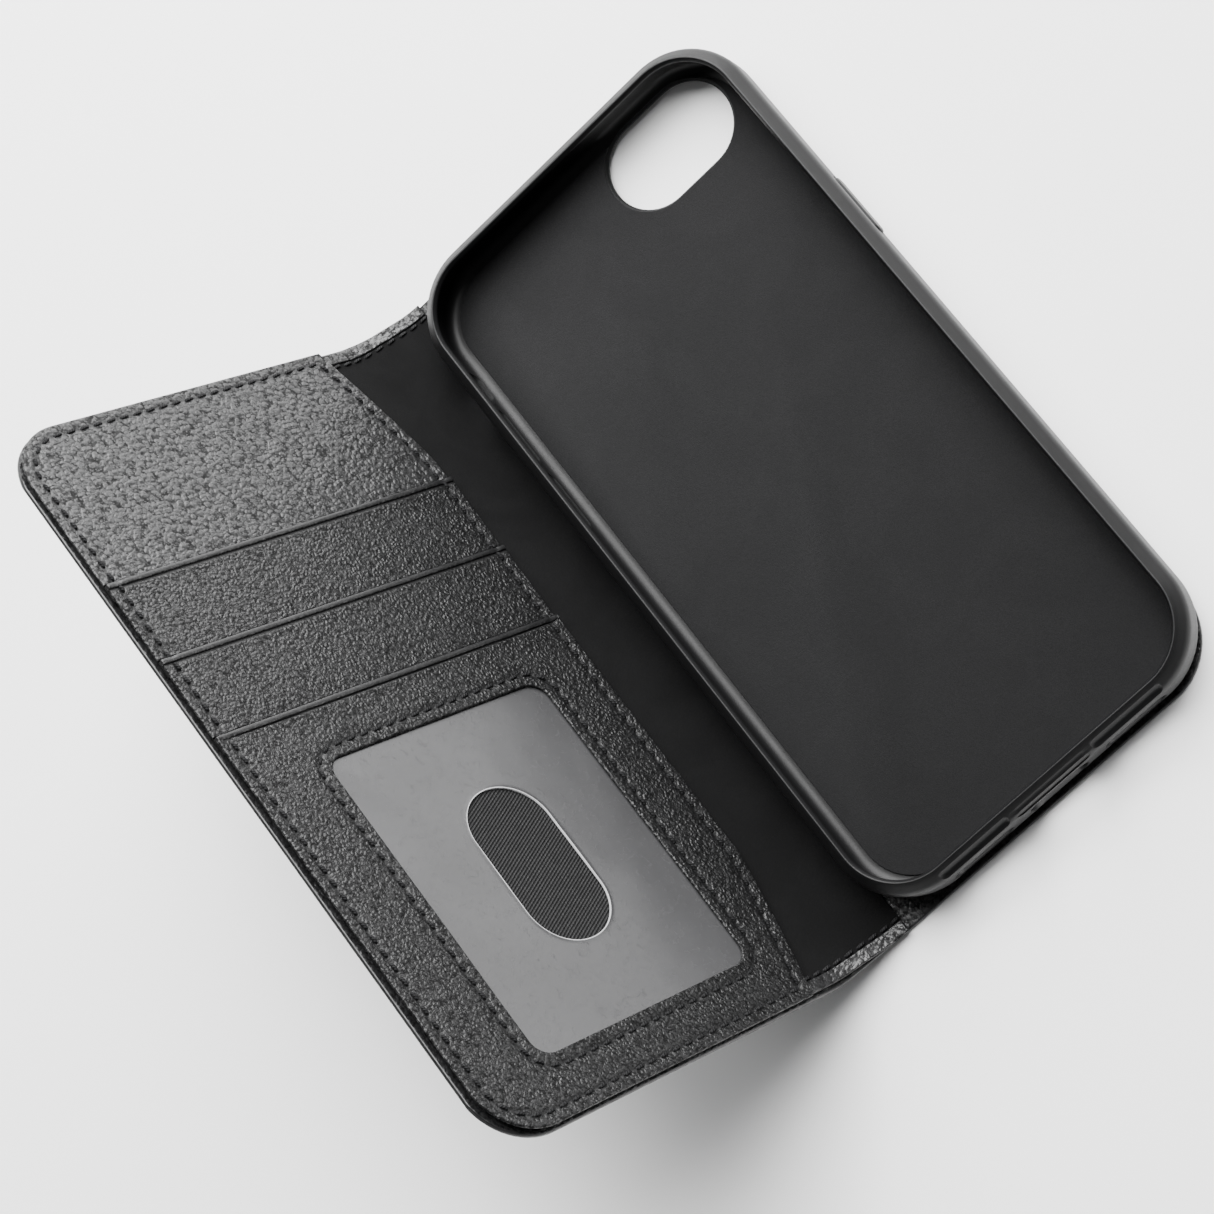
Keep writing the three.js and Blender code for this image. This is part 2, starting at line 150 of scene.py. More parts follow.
def build(name, points, faces, material, body=None, slot=None, edge_material=None):
    """A mesh piece from points in millimetres, smooth apart from its sharp edges."""
    mesh = bpy.data.meshes.new(name)
    mesh.from_pydata((np.asarray(points) * MM).tolist(), [], [list(map(int, f)) for f in faces])
    mesh.validate()
    mesh.update()
    obj = shown(bpy.data.objects.new(name, mesh))
    mesh.materials.append(material)
    if edge_material:
        mesh.materials.append(edge_material)
    smooth(mesh)
    if body:
        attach(obj, body)
    return obj


def smooth(mesh):
    mesh.polygons.foreach_set("use_smooth", [True] * len(mesh.polygons))
    mesh.set_sharp_from_angle(angle=math.radians(SHARP))


def grid_faces(rows, cols, start=0, closed=False, flip=False):
    """Quads between rows*cols points; closed joins the last column to the first."""
    i, j = np.meshgrid(np.arange(rows - 1), np.arange(cols if closed else cols - 1), indexing="ij")
    k = (j + 1) % cols
    quads = np.stack([i * cols + j, i * cols + k, (i + 1) * cols + k, (i + 1) * cols + j], -1)
    quads = quads.reshape(-1, 4) + start
    return quads[:, ::-1] if flip else quads


def slab(top, bottom, closed=False):
    """Points and faces of a closed sheet between two grids of the same shape. With closed, the
    columns go right round and the rows run from an inner rim to an outer rim."""
    rows, cols = top.shape[:2]
    n = rows * cols
    points = np.concatenate([top.reshape(-1, 3), bottom.reshape(-1, 3)])
    faces = [grid_faces(rows, cols, 0, closed), grid_faces(rows, cols, n, closed, flip=True)]

    def wall(ids, flip):
        q = np.stack([ids[:-1], ids[1:], ids[1:] + n, ids[:-1] + n], -1)
        faces.append(q if flip else q[:, ::-1])

    index = np.arange(n).reshape(rows, cols)
    if closed:
        wall(np.append(index[0], index[0][0]), False)
        wall(np.append(index[-1], index[-1][0]), True)
    else:
        wall(index[0], False)
        wall(index[-1], True)
        wall(index[:, 0], True)
        wall(index[:, -1], False)
    return points, np.concatenate(faces)


def mark_edges(obj, near):
    """Gives the second material to faces whose points are all near an edge."""
    for poly in obj.data.polygons:
        if all(near[i] for i in poly.vertices):
            poly.material_index = 1


def store_crease_shade(obj, values):
    """Stores how each point of the piece is flattened or shaded: 0 to 1 along a creased line darkened with
    painted shade, -1 to 0 flat.
    """
    layer = obj.data.attributes.new("crease_shade", "FLOAT", "POINT")
    layer.data.foreach_set("value", np.resize(values.ravel(), len(obj.data.vertices)).astype(np.float32))


def face_out(obj):
    """Turns the faces outwards if the closed mesh is inside out."""
    mesh = obj.data
    mesh.calc_loop_triangles()
    co = np.array([v.co for v in mesh.vertices])
    t = np.array([tri.vertices for tri in mesh.loop_triangles])
    volume = np.einsum("ij,ij->i", co[t[:, 0]], np.cross(co[t[:, 1]], co[t[:, 2]])).sum()
    if volume < 0:
        mesh.flip_normals()
    return obj


def rounded_rect(half_x, half_y, radius, per_corner=18, spacing=0.8):
    """Anticlockwise points of a rounded rectangle, with points along its straight sides too."""
    out = []
    corners = [(1, 1, 0), (-1, 1, 90), (-1, -1, 180), (1, -1, 270)]
    for k, (sx, sy, a0) in enumerate(corners):
        cx, cy = sx * (half_x - radius), sy * (half_y - radius)
        for i in range(per_corner + 1):
            a = math.radians(a0 + 90 * i / per_corner)
            out.append((cx + radius * math.cos(a), cy + radius * math.sin(a)))
        nx, ny, na = corners[(k + 1) % 4]
        a = math.radians(na)
        end = (nx * (half_x - radius) + radius * math.cos(a), ny * (half_y - radius) + radius * math.sin(a))
        gap = math.hypot(end[0] - out[-1][0], end[1] - out[-1][1])
        steps = max(1, round(gap / spacing))
        last = out[-1]
        for i in range(1, steps):
            f = i / steps
            out.append((last[0] + (end[0] - last[0]) * f, last[1] + (end[1] - last[1]) * f))
    return np.array(out)


def smoothstep(x):
    x = np.clip(x, 0, 1)
    return x * x * (3 - 2 * x)


def edge_steps(length, step, fine=(0, 0.03, 0.08, 0.15, 0.24, 0.36, 0.5, 0.66, 0.82, 0.98, 1.15)):
    """Distances from 0 to length, crowded at both ends so that the edges can be rounded."""
    fine = [f for f in fine if f < length / 2]
    inner = np.linspace(fine[-1], length - fine[-1], max(2, int((length - 2 * fine[-1]) / step) + 1))
    return np.concatenate([fine[:-1], inner, [length - f for f in fine[:-1][::-1]]])


def soft_edge(d, radius):
    """How far a face drops at distance d from an edge rounded with radius."""
    x = np.clip((radius - d) / radius, 0, 1)
    return radius * (1 - np.sqrt(1 - x * x))


def waviness(u, v, size, amount, seed=0.0):
    """Slow unevenness for soft pieces, at coordinates along the leather."""
    flat = np.stack([u, v, 0 * u], -1).reshape(-1, 3)
    shift = Vector((seed, seed * 0.7, -seed))
    values = [noise.noise(Vector(q) / size + shift) for q in flat]
    return np.array(values).reshape(np.shape(u)) * amount


def cut(obj, cutters):
    """Takes the cutters, as (points, faces) pairs that don't touch each other, out of obj."""
    points, faces, start = [], [], 0
    for p, f in cutters:
        points.append(p)
        faces += [[int(i) + start for i in face] for face in f]
        start += len(p)
    tool = build("cutter", np.concatenate(points), faces, obj.data.materials[0])
    mod = obj.modifiers.new("cut", "BOOLEAN")
    mod.operation, mod.solver, mod.object = "DIFFERENCE", "EXACT", tool
    bpy.context.view_layer.update()
    cut_mesh = bpy.data.meshes.new_from_object(obj.evaluated_get(bpy.context.evaluated_depsgraph_get()))
    obj.modifiers.clear()
    obj.data = cut_mesh
    smooth(cut_mesh)
    bpy.data.objects.remove(tool)
    return obj


# ---------------------------------------------------------------- materials
class Nodes:
    """A short way to wire a procedural material around one Principled shader."""

    def __init__(self, name):
        self.material = bpy.data.materials.new(name)
        self.material.use_nodes = True
        self.tree = self.material.node_tree
        self.shader = self.tree.nodes["Principled BSDF"]
        self.place = self.add("ShaderNodeTexCoord").outputs["Object"]

    def add(self, kind, inputs=None, **settings):
        node = self.tree.nodes.new(kind)
        for key, value in settings.items():
            setattr(node, key, value)
        for key, value in (inputs or {}).items():
            self.link(value, node.inputs[key])
        return node

    def link(self, value, socket):
        if isinstance(value, bpy.types.NodeSocket):
            self.tree.links.new(value, socket)
        else:
            socket.default_value = value

    def noise(self, scale, detail=3.0, rough=0.55, distortion=0.0):
        return self.add("ShaderNodeTexNoise", {
            "Vector": self.place, "Scale": scale, "Detail": detail,
            "Roughness": rough, "Distortion": distortion}).outputs["Fac"]

    def math(self, operation, a, b=0.0, c=0.0):
        return self.add("ShaderNodeMath", {0: a, 1: b, 2: c}, operation=operation).outputs[0]

    def ramp(self, value, low, high, out_low=0.0, out_high=1.0):
        return self.add("ShaderNodeMapRange", {
            "Value": value, "From Min": low, "From Max": high,
            "To Min": out_low, "To Max": out_high}, interpolation_type="SMOOTHSTEP").outputs[0]

    def colour(self, fac, a, b):
        node = self.add("ShaderNodeMix", data_type="RGBA")
        self.link(fac, node.inputs[0])
        self.link((*a, 1.0) if isinstance(a, tuple) else a, node.inputs[6])
        self.link((*b, 1.0) if isinstance(b, tuple) else b, node.inputs[7])
        return node.outputs[2]

    def bump(self, height, distance, strength):
        inputs = {"Height": height, "Distance": distance, "Strength": strength}
        return self.add("ShaderNodeBump", inputs).outputs["Normal"]

    def warped(self, scale, amount):
        """Object coordinates pushed about by noise, so that cells aren't regular."""
        n = self.add("ShaderNodeTexNoise", {"Vector": self.place, "Scale": scale, "Detail": 2.0})
        centred = self.add("ShaderNodeVectorMath", {0: n.outputs["Color"], 1: (0.5, 0.5, 0.5)},
                           operation="SUBTRACT").outputs[0]
        pushed = self.add("ShaderNodeVectorMath", {0: centred, 3: amount}, operation="SCALE").outputs[0]
        return self.add("ShaderNodeVectorMath", {0: self.place, 1: pushed}, operation="ADD").outputs[0]

    def finish(self, **sockets):
        for key, value in sockets.items():
            self.link(value, self.shader.inputs[key.replace("_", " ")])
        return self.material


def shade(tone, factor):
    return tuple(c * factor for c in tone)


def leather(name, tone, cell, depth, shine=0.42):
    """Pebbled leather: uneven rounded pebbles with painted shade darkening their valleys, and finer cells and
    pores on them. Where the attribute stored on the mesh is above 0 the leather gets painted shade, and both
    there and where it is below 0 the grain is flattened. cell is the size of a pebble, and depth its height."""
    m = Nodes(name)
    cells = m.add("ShaderNodeTexVoronoi", {"Vector": m.warped(420.0, 0.0011), "Scale": 1000.0 / cell,
                                           "Smoothness": 0.25}, feature="SMOOTH_F1").outputs["Distance"]
    small = m.add("ShaderNodeTexVoronoi", {"Vector": m.warped(1300.0, 0.0004), "Scale": 2100.0 / cell},
                  feature="F1").outputs["Distance"]
    uneven = m.ramp(m.noise(300.0, 3.0), 0.3, 0.7, 0.55, 1.0)
    lumps = m.noise(760.0 / cell, 3.0, 0.62)
    height = m.math("MULTIPLY", m.ramp(cells, 0.66, 0.10), uneven)
    height = m.math("MULTIPLY_ADD", m.ramp(small, 0.62, 0.08), 0.30, height)
    height = m.math("MULTIPLY_ADD", lumps, 0.95, height)
    height = m.math("MULTIPLY_ADD", m.noise(5200.0, 2.0), 0.08, height)
    # painted shade in the valleys between the pebbles
    valley_shade = m.ramp(height, 0.86, 0.36, 0.0, 0.85)
    # the mesh's attribute: above 0 painted shade along seams and lips, below 0 flattened grain only
    crease_shade_value = m.add("ShaderNodeAttribute", attribute_name="crease_shade").outputs["Fac"]
    grain = m.math("SUBTRACT", 1.0, m.math("MINIMUM", m.math("ABSOLUTE", crease_shade_value), 1.0))
    height = m.math("MULTIPLY", height, grain)
    # painted shade of the valleys and of the mesh's lines, which darkens the colour and dulls the sheen
    painted_shade_mask = m.math("MAXIMUM", m.math("MULTIPLY", valley_shade, grain), crease_shade_value)
    surface = m.colour(m.noise(60.0, 4.0), tone, shade(tone, 1.2))
    colour = m.colour(painted_shade_mask, surface, shade(tone, 0.10))
    roughness = m.math("ADD", m.ramp(painted_shade_mask, 0.0, 1.0, 0.38, 0.62),
                       m.ramp(m.noise(240.0, 3.0), 0.3, 0.7, -0.05, 0.05))
    return m.finish(Base_Color=colour, Roughness=roughness,
                    Specular_IOR_Level=m.ramp(painted_shade_mask, 0.0, 1.0, shine, 0.08),
                    Normal=m.bump(height, depth * MM, 0.9))


def edge_paint(name, tone):
    """Burnished, painted cut edge of leather."""
    m = Nodes(name)
    ripple = m.noise(900.0, 4.0, 0.6)
    colour = m.colour(ripple, shade(tone, 0.8), shade(tone, 1.3))
    return m.finish(Base_Color=colour, Roughness=m.ramp(ripple, 0.3, 0.7, 0.34, 0.50),
                    Normal=m.bump(ripple, 0.00008, 0.6))


def moulded(name, tone, rough=0.46):
    """Soft moulded rubber with a fine sparked texture and handling marks."""
    m = Nodes(name)
    fine = m.noise(4200.0, 3.0, 0.65)
    broad = m.noise(38.0, 3.0)
    rub = m.ramp(m.noise(150.0, 5.0, 0.62), 0.45, 0.75)
    colour = m.colour(broad, shade(tone, 0.86), shade(tone, 1.16))
    roughness = m.math("ADD", m.ramp(fine, 0.2, 0.8, rough - 0.05, rough + 0.06),
                       m.math("MULTIPLY", rub, -0.05))
    return m.finish(Base_Color=colour, Roughness=roughness, Specular_IOR_Level=0.23,
                    Normal=m.bump(fine, 0.00006, 0.35))


def suede(name, tone, nap, patchy):
    """Microsuede: a short nap brushed into soft patches."""
    m = Nodes(name)
    fibres = m.noise(nap, 4.0, 0.7, distortion=0.6)
    brushed = m.ramp(m.noise(70.0, 4.0, 0.6, distortion=0.8), 0.3, 0.7)
    colour = m.colour(brushed, shade(tone, 1 - patchy), shade(tone, 1 + patchy))
    colour = m.colour(m.ramp(fibres, 0.35, 0.65), shade(tone, 0.7), colour)
    return m.finish(Base_Color=colour, Roughness=m.ramp(brushed, 0.0, 1.0, 0.93, 0.88),
                    Specular_IOR_Level=0.09, Sheen_Weight=0.02, Sheen_Roughness=0.5,
                    Normal=m.bump(fibres, 0.00012, 0.55))


def twill(name, tone):
    """Fine twill: slanting ribs crossed by single threads, laid along the cover."""
    m = Nodes(name)
    turned = m.add("ShaderNodeMapping", {"Vector": m.place, "Rotation": (0.0, 2 * FOLD, 0.0)})
    split = m.add("ShaderNodeSeparateXYZ", {"Vector": turned.outputs[0]})
    across, along = split.outputs[0], split.outputs[1]
    period = 0.60 * MM
    slant = m.math("ADD", across, along)
    ribs = m.math("SINE", m.math("MULTIPLY", slant, 2 * math.pi / period))
    threads = m.math("SINE", m.math("MULTIPLY", across, 2 * math.pi / (period * 0.55)))
    height = m.math("MULTIPLY_ADD", threads, 0.28, m.math("MULTIPLY", ribs, 0.6))
    uneven = m.noise(700.0, 3.0)
    height = m.math("MULTIPLY_ADD", uneven, 0.5, height)
    colour = m.colour(m.ramp(ribs, -0.5, 0.8), shade(tone, 0.15), shade(tone, 2.4))
    return m.finish(Base_Color=colour, Roughness=m.ramp(uneven, 0.3, 0.7, 0.62, 0.80),
                    Specular_IOR_Level=0.2, Normal=m.bump(height, 0.00012, 1.0))


def thread(name, tone):
    """Bonded thread; the twist comes from the UVs that run along and round each stitch."""
    m = Nodes(name)
    uv = m.add("ShaderNodeUVMap").outputs[0]
    split = m.add("ShaderNodeSeparateXYZ", {"Vector": uv})
    twist = m.math("SINE", m.math("MULTIPLY", m.math("ADD", split.outputs[0], split.outputs[1]), 4 * math.pi))
    fibre = m.noise(9000.0, 2.0)
    height = m.math("MULTIPLY_ADD", fibre, 0.4, twist)
    colour = m.colour(m.ramp(twist, -1.0, 1.0), shade(tone, 0.5), shade(tone, 2.0))
    return m.finish(Base_Color=colour, Roughness=m.ramp(fibre, 0.3, 0.7, 0.55, 0.75),
                    Specular_IOR_Level=0.15, Normal=m.bump(height, 0.00005, 0.7))


def film(name, tone=(0.030, 0.030, 0.031)):
    """Frosted window film with faint scuffs and a slow ripple."""
    m = Nodes(name)
    scuff = m.ramp(m.noise(520.0, 6.0, 0.72, distortion=1.5), 0.52, 0.75)
    ripple = m.noise(45.0, 2.0)
    haze = m.noise(26.0, 3.0, 0.5)
    colour = m.colour(m.ramp(haze, 0.3, 0.7), shade(tone, 0.82), shade(tone, 1.12))
    height = m.math("MULTIPLY_ADD", scuff, 0.03, ripple)
    return m.finish(Base_Color=colour, Roughness=m.ramp(scuff, 0.0, 1.0, 0.26, 0.38),
                    Specular_IOR_Level=0.65, Normal=m.bump(height, 0.0006, 0.5))


def grey_board(name):
    m = Nodes(name)
    fibres = m.noise(600.0, 5.0, 0.7, distortion=1.0)
    colour = m.colour(fibres, (0.20, 0.18, 0.15), (0.36, 0.33, 0.28))
    return m.finish(Base_Color=colour, Roughness=m.ramp(fibres, 0.3, 0.7, 0.82, 0.95),
                    Normal=m.bump(fibres, 0.0001, 0.5))


def studio_floor(name):
    m = Nodes(name)
    mottle = m.noise(3.0, 2.0)
    colour = m.colour(mottle, (0.88, 0.88, 0.88), (0.91, 0.91, 0.91))
    return m.finish(Base_Color=colour, Roughness=m.ramp(mottle, 0.0, 1.0, 0.75, 0.85))


OUTER_LEATHER = leather("outer_leather", (0.0085, 0.0085, 0.0088), cell=0.9, depth=0.11)
PANEL_LEATHER = leather("panel_leather", (0.0105, 0.0105, 0.0108), cell=1.0, depth=0.155)
STRIP_LEATHER = leather("strip_leather", (0.0052, 0.0052, 0.0054), cell=0.72, depth=0.15, shine=0.34)
EDGE_PAINT = edge_paint("edge_paint", (0.004, 0.004, 0.0043))
RUBBER = moulded("moulded_rubber", (0.0030, 0.0030, 0.0032))
BUTTON_RUBBER = moulded("button_rubber", (0.0040, 0.0040, 0.0042), rough=0.42)
FLOOR_SUEDE = suede("tray_floor_suede", (0.0125, 0.0125, 0.0129), nap=4200.0, patchy=0.04)
SPINE_SUEDE = suede("spine_suede", (0.0024, 0.0024, 0.0025), nap=3200.0, patchy=0.10)
POCKET_TWILL = twill("pocket_twill", (0.0055, 0.0055, 0.0057))
THREAD = thread("thread", (0.0035, 0.0035, 0.0038))
FILM = film("window_film_frosted")
BOARD = grey_board("stiffener_board")
# The cut edge of the film is coloured light grey: a painted highlight where the edge catches light.
FILM_EDGE_HIGHLIGHT = film("window_film_cut_edge_highlight", (0.34, 0.34, 0.345))


# ---------------------------------------------------------------- tray
# Section through the wall, as growth beyond the rim edge and height: from the foot up the outside,
# over the rim, down under the lip and round the fillet to the floor.
def wall_section():
    foot = LEATHER_T + AIR
    widest = RIM_Z - RIM_ROLL
    return [
        (FLARE - 2.3, foot), (FLARE - 1.9, foot + 0.02), (FLARE - 0.95, foot + 0.62),
        (FLARE - 0.28, foot + 1.9), (FLARE - 0.04, foot + 3.3), (FLARE, foot + 5.0),
        (FLARE, widest - 0.7), (FLARE - 0.10, widest + 0.15), (FLARE - 0.42, widest + 0.85),
        (FLARE - 0.98, widest + 1.5), (FLARE - 1.55, widest + 2.1), (0.36, RIM_Z - 0.15),
        (0.22, RIM_Z - 0.03), (0.1, RIM_Z), (-0.04, RIM_Z - 0.04), (-0.25, RIM_Z - 0.3),
        (-0.46, RIM_Z - 0.66), (-0.5, RIM_Z - 0.95), (-0.36, RIM_Z - 1.3), (0.1, RIM_Z - 1.9),
        (0.62, widest + 0.1), (0.92, widest - 0.6), (CAVITY_OVER, widest - 1.6), (CAVITY_OVER, FLOOR_Z + 2.3),
        (0.78, FLOOR_Z + 1.3), (0.25, FLOOR_Z + 0.5), (-0.5, FLOOR_Z + 0.1), (-1.3, FLOOR_Z)]


def catmull(points, per):
    """A smooth curve through the points, with per points to each span."""
    p = np.array([points[0], *points, points[-1]], float)
    t = np.arange(per)[:, None] / per
    spans = [0.5 * (2 * b + (c - a) * t + (2 * a - 5 * b + 4 * c - d) * t**2
                    + (3 * b - a - 3 * c + d) * t**3)
             for a, b, c, d in zip(p, p[1:], p[2:], p[3:])]
    return np.concatenate([*spans, p[-1:]])


def ring(growth, height):
    flat = rounded_rect(RIM_X + growth, RIM_Y + growth, RIM_R + growth, 18, 2.0)
    return np.column_stack([flat, np.full(len(flat), height)])


def loft(rings):
    """A closed solid through rings of equally many points, capped at both ends and facing out."""
    n = len(rings[0])
    faces = [list(f) for f in grid_faces(len(rings), n, 0, closed=True)]
    faces += [list(range(n))[::-1], [(len(rings) - 1) * n + i for i in range(n)]]
    points = np.concatenate(rings)
    middle = points.mean(0)
    volume = 0.0
    for f in faces:
        a = points[f[0]] - middle
        for i, j in zip(f[1:], f[2:]):
            volume += a @ np.cross(points[i] - middle, points[j] - middle)
    return points, [f[::-1] for f in faces] if volume < 0 else faces


def stadium(half_a, half_b, grow=0.0, per=9):
    r = min(half_a, half_b) + grow
    return rounded_rect(half_a + grow, half_b + grow, r - 0.001, per, 50)


def lying(mid):
    """Puts a 2D section into the XY plane."""
    return lambda flat, depth: np.column_stack([flat + mid, np.full(len(flat), depth)])


def facing_y(x_mid, z_mid):
    """Puts a 2D section into the XZ plane; depth runs towards -Y."""
    return lambda flat, depth: np.column_stack(
        [flat[:, 0] + x_mid, np.full(len(flat), -depth), flat[:, 1] + z_mid])


def facing_x(side, y_mid, z_mid):
    """Puts a 2D section, long way along Y, into the YZ plane; depth runs outwards on that side."""
    return lambda flat, depth: np.column_stack(
        [np.full(len(flat), side * depth), flat[:, 0] + y_mid, flat[:, 1] + z_mid])


def spool(outline, depth_from, depth_to, fillet, place):
    """A cutter that widens at both faces it cuts through, so that the hole has rounded edges.
    outline(g) is its section grown by g."""
    stations = [(depth_from - 2.0, fillet)]
    turn = [math.radians(15 * i) for i in range(7)]
    stations += [(depth_from + fillet * math.sin(a), fillet * (1 - math.sin(a)))
                 for a in turn]
    stations += [(depth_to - fillet * math.sin(a), fillet * (1 - math.sin(a)))
                 for a in reversed(turn)]
    stations.append((depth_to + 2.0, fillet))
    return loft([place(outline(g), d) for d, g in stations])


def scoop(x_mid, length, shape):
    """A cutter for a scoop in the flare of the bottom wall, behind which the rim lip stays whole.
    shape lists how far out, how much longer and how far below the rim the scoop is there."""
    def section(d, g, drop):
        half, low = length / 2 + g, RIM_Z - drop
        r = min(1.6, drop * 0.8)
        corner = np.radians(np.arange(0, 91, 10))
        right = np.column_stack([half - r + r * np.sin(corner), low + r - r * np.cos(corner)])
        left = right[::-1] * (-1, 1)
        flat = np.concatenate([left, right, [(half, RIM_Z + 3)], [(-half, RIM_Z + 3)]])
        return facing_y(x_mid, 0.0)(flat, RIM_Y + SCOOP_FROM + d)
    return loft([section(*row) for row in shape])


SCOOP_FROM = 0.85  # rim edge to the inner side of the scoops
HOLE_UP = 2.88  # floor to the middle of the holes
PORT_SCOOP = [(0, -1.3, 0.1), (0.12, -0.9, 0.6), (0.3, -0.5, 1.05), (0.6, -0.25, 1.4), (0.95, -0.1, 1.65),
              (1.1, 0, 2.3), (1.2, 0, 2.9), (1.7, 0.1, 3.1), (2.6, 0.2, 3.4)]
SPEAKER_SCOOP = [(0, -1.2, 0.1), (0.12, -0.8, 0.8), (0.3, -0.4, 1.5), (0.5, -0.15, 1.95), (0.9, 0, 2.15),
                 (1.6, 0.1, 2.45), (2.05, 0.15, 2.85), (2.6, 0.25, 3.2)]
# x, length of the scoop, its shape, length and height of the hole
PORT = (0.0, 16.6, PORT_SCOOP, 12.6, 4.8)
SPEAKERS = [(side * 16.8, 16.0, SPEAKER_SCOOP, 13.0, 3.0) for side in (-1, 1)]
SWITCH = (RIM_Y - 18.9, 8.4, 4.8)  # y, length, height


def tray_shell():
    """The moulded tray with its openings."""
    rings = [ring(g, z) for g, z in catmull(wall_section(), 4)]
    obj = build("tray_shell_soft", *loft(rings), RUBBER, "tray", "shell")
    hole_z = FLOOR_Z + HOLE_UP
    wall = []
    for x, *_, hole_l, hole_h in [PORT, *SPEAKERS]:
        wall.append(spool(lambda g, a=hole_l, b=hole_h: stadium(a / 2, b / 2, g),
                          RIM_Y - 3, WALL_Y + 0.02, 0.3, facing_y(x, hole_z)))
    scoops = [scoop(*row[:3]) for row in (PORT, *SPEAKERS)]
    sides = [spool(lambda g: stadium(*CAMERA_HALF, g, 14), LEATHER_T + AIR, FLOOR_Z, 0.4,
                   lying(CAMERA_MID))]
    for node, side in BUTTONS:
        _, middle, half = button_place(node)
        sides.append(spool(lambda g, h=half + BUTTON_AIR: stadium(*h, g), WALL_X - 4, WALL_X, 0.2,
                           facing_x(side, *middle)))
    y, length, height = SWITCH
    z = (LEATHER_T + AIR + RIM_Z - RIM_ROLL) / 2 + 0.6
    dish = [(WALL_X - 4, 0.0), (WALL_X - 0.9, 0.0), (WALL_X - 0.6, 0.15), (WALL_X - 0.35, 0.5),
            (WALL_X - 0.12, 1.05), (WALL_X + 0.3, 1.5)]
    switch = loft([facing_x(-1, y, z)(stadium(length / 2, height / 2, g), d) for d, g in dish])
    for cutters in (sides, [switch], wall, *([c] for c in scoops)):
        cut(obj, cutters)
    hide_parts("tray_shell")
    return obj


BUTTONS = [("volume_up_button", -1), ("volume_down_button", -1), ("side_button", 1)]  # node, side
BUTTON_AIR = 0.2
BUTTON_SUNK = 0.4  # the soft cap stands this much lower than its CAD node
BUTTON_ROUND = 0.62


def button_place(node):
    """Inner and outer reach of a button, its middle and half its size in y and z."""
    low, high = box_mm(node)
    return sorted((abs(low[0]), abs(high[0]))), (low[1:] + high[1:]) / 2, (high[1:] - low[1:]) / 2


def button(node, side, body):
    """A soft domed key that comes out of its slot in the wall."""
    (inner, outer), middle, half = button_place(node)
    outer -= BUTTON_SUNK
    stations = [(inner, 0.0), (outer - 0.75, 0.0)]
    stations += [(outer - BUTTON_ROUND + BUTTON_ROUND * math.sin(a), -BUTTON_ROUND * (1 - math.cos(a)))
                 for a in np.radians(np.arange(0, 91, 9))]
    place = facing_x(side, *middle)
    obj = build(node + "_soft", *loft([place(stadium(*half, g, 12), d) for d, g in stations]),
                BUTTON_RUBBER, body, "button")
    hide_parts(node)


def floor_lining():
    """The suede on the tray's floor, with its camera opening."""
    growth = CAVITY_OVER - 2.0 - 0.35
    top = FLOOR_Z + 0.5
    stations = [(0, FLOOR_Z + AIR), (0, top - 0.16), (-0.05, top - 0.06), (-0.16, top)]
    obj = build("floor_lining_suede", *loft([ring(growth + g, z) for g, z in stations]),
                FLOOR_SUEDE, "tray", "suede")
    cut(obj, [spool(lambda g: stadium(*(CAMERA_HALF + 0.5), g, 14), FLOOR_Z, top, 0.12,
                    lying(CAMERA_MID))])
    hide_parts("floor_lining")


# ---------------------------------------------------------------- outer leather and spine
def path(s):
    """The line of the leather through tray, spine and cover, rounded at the two folds. s is the
    length from the first fold, and the result is each point and the direction to the pocket side."""
    s = np.asarray(s, float)
    heading = [np.array([-math.cos(k * FOLD), math.sin(k * FOLD)]) for k in range(3)]
    a, b = FOLD_A[[0, 2]], FOLD_B[[0, 2]]
    leg = np.where(s < 0, 0, np.where(s < SPINE_W, 1, 2))
    start = np.array([a, a, b])[leg]
    run = s - np.array([0, 0, SPINE_W])[leg]
    tangent = np.array(heading)[leg]
    point = start + run[..., None] * tangent
    for at, corner, before, after in ((0.0, a, heading[0], heading[1]), (SPINE_W, b, heading[1], heading[2])):
        near = np.abs(s - at) < BEND_REACH
        t = ((s - at + BEND_REACH) / (2 * BEND_REACH))[..., None]
        p0, p2 = corner - BEND_REACH * before, corner + BEND_REACH * after
        curve = (1 - t) ** 2 * p0 + 2 * t * (1 - t) * corner + t**2 * p2
        slope = (1 - t) * (corner - p0) + t * (p2 - corner)
        slope = slope / np.linalg.norm(slope, axis=-1, keepdims=True)
        point = np.where(near[..., None], curve, point)
        tangent = np.where(near[..., None], slope, tangent)
    across = np.stack([tangent[..., 1], -tangent[..., 0]], -1)
    return point, across


def on_path(s, v, w):
    """Developed coordinates to the row frame, in millimetres."""
    s, v, w = np.broadcast_arrays(np.asarray(s, float), v, w)
    point, across = path(s)
    flat = point + w[..., None] * across
    return np.stack([flat[..., 0], v, flat[..., 1]], -1)


def half_height(s):
    """Half the height of the outer leather at developed length s, with its rounded corners."""
    share = np.clip(s / SPINE_W, 0, 1)
    h = back_high[1] + (COVER_H - back_high[1]) * share
    for end, r, sign in ((-TRAY_RUN, BACK_R, -1), (SPINE_W + COVER_W, COVER_R, 1)):
        into = r - np.clip(np.abs(end - s), 0, r)
        h = h - (r - np.sqrt(np.maximum(r * r - into * into, 0)))
    return h


TRAY_RUN = back_high[0] - FOLD_A[0]  # first fold to the free edge of the leather back
MID_SPINE = SPINE_W / 2
END_BAND = 12  # rows this near the ends keep their distance from the edge


def corner_steps(end, radius, sign):
    """Values of s round a corner of the leather, crowded towards its end."""
    a = np.radians(np.concatenate([[0, 2.5, 5, 8], np.arange(12, 91, 6)]))
    return end - sign * radius * (1 - np.cos(a))


def bridge_points(fold):
    at = (0.0, SPINE_W)[fold]
    return [Vector(on_path(at + k * BEND_REACH, 0.0, 0.0).reshape(3) * MM) for k in (-1, 1)]


def flexible(obj, fold):
    """Bakes the placement of obj, a piece across a fold, into its mesh."""
    start, end = bridge_points(fold)
    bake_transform(obj)
    return obj


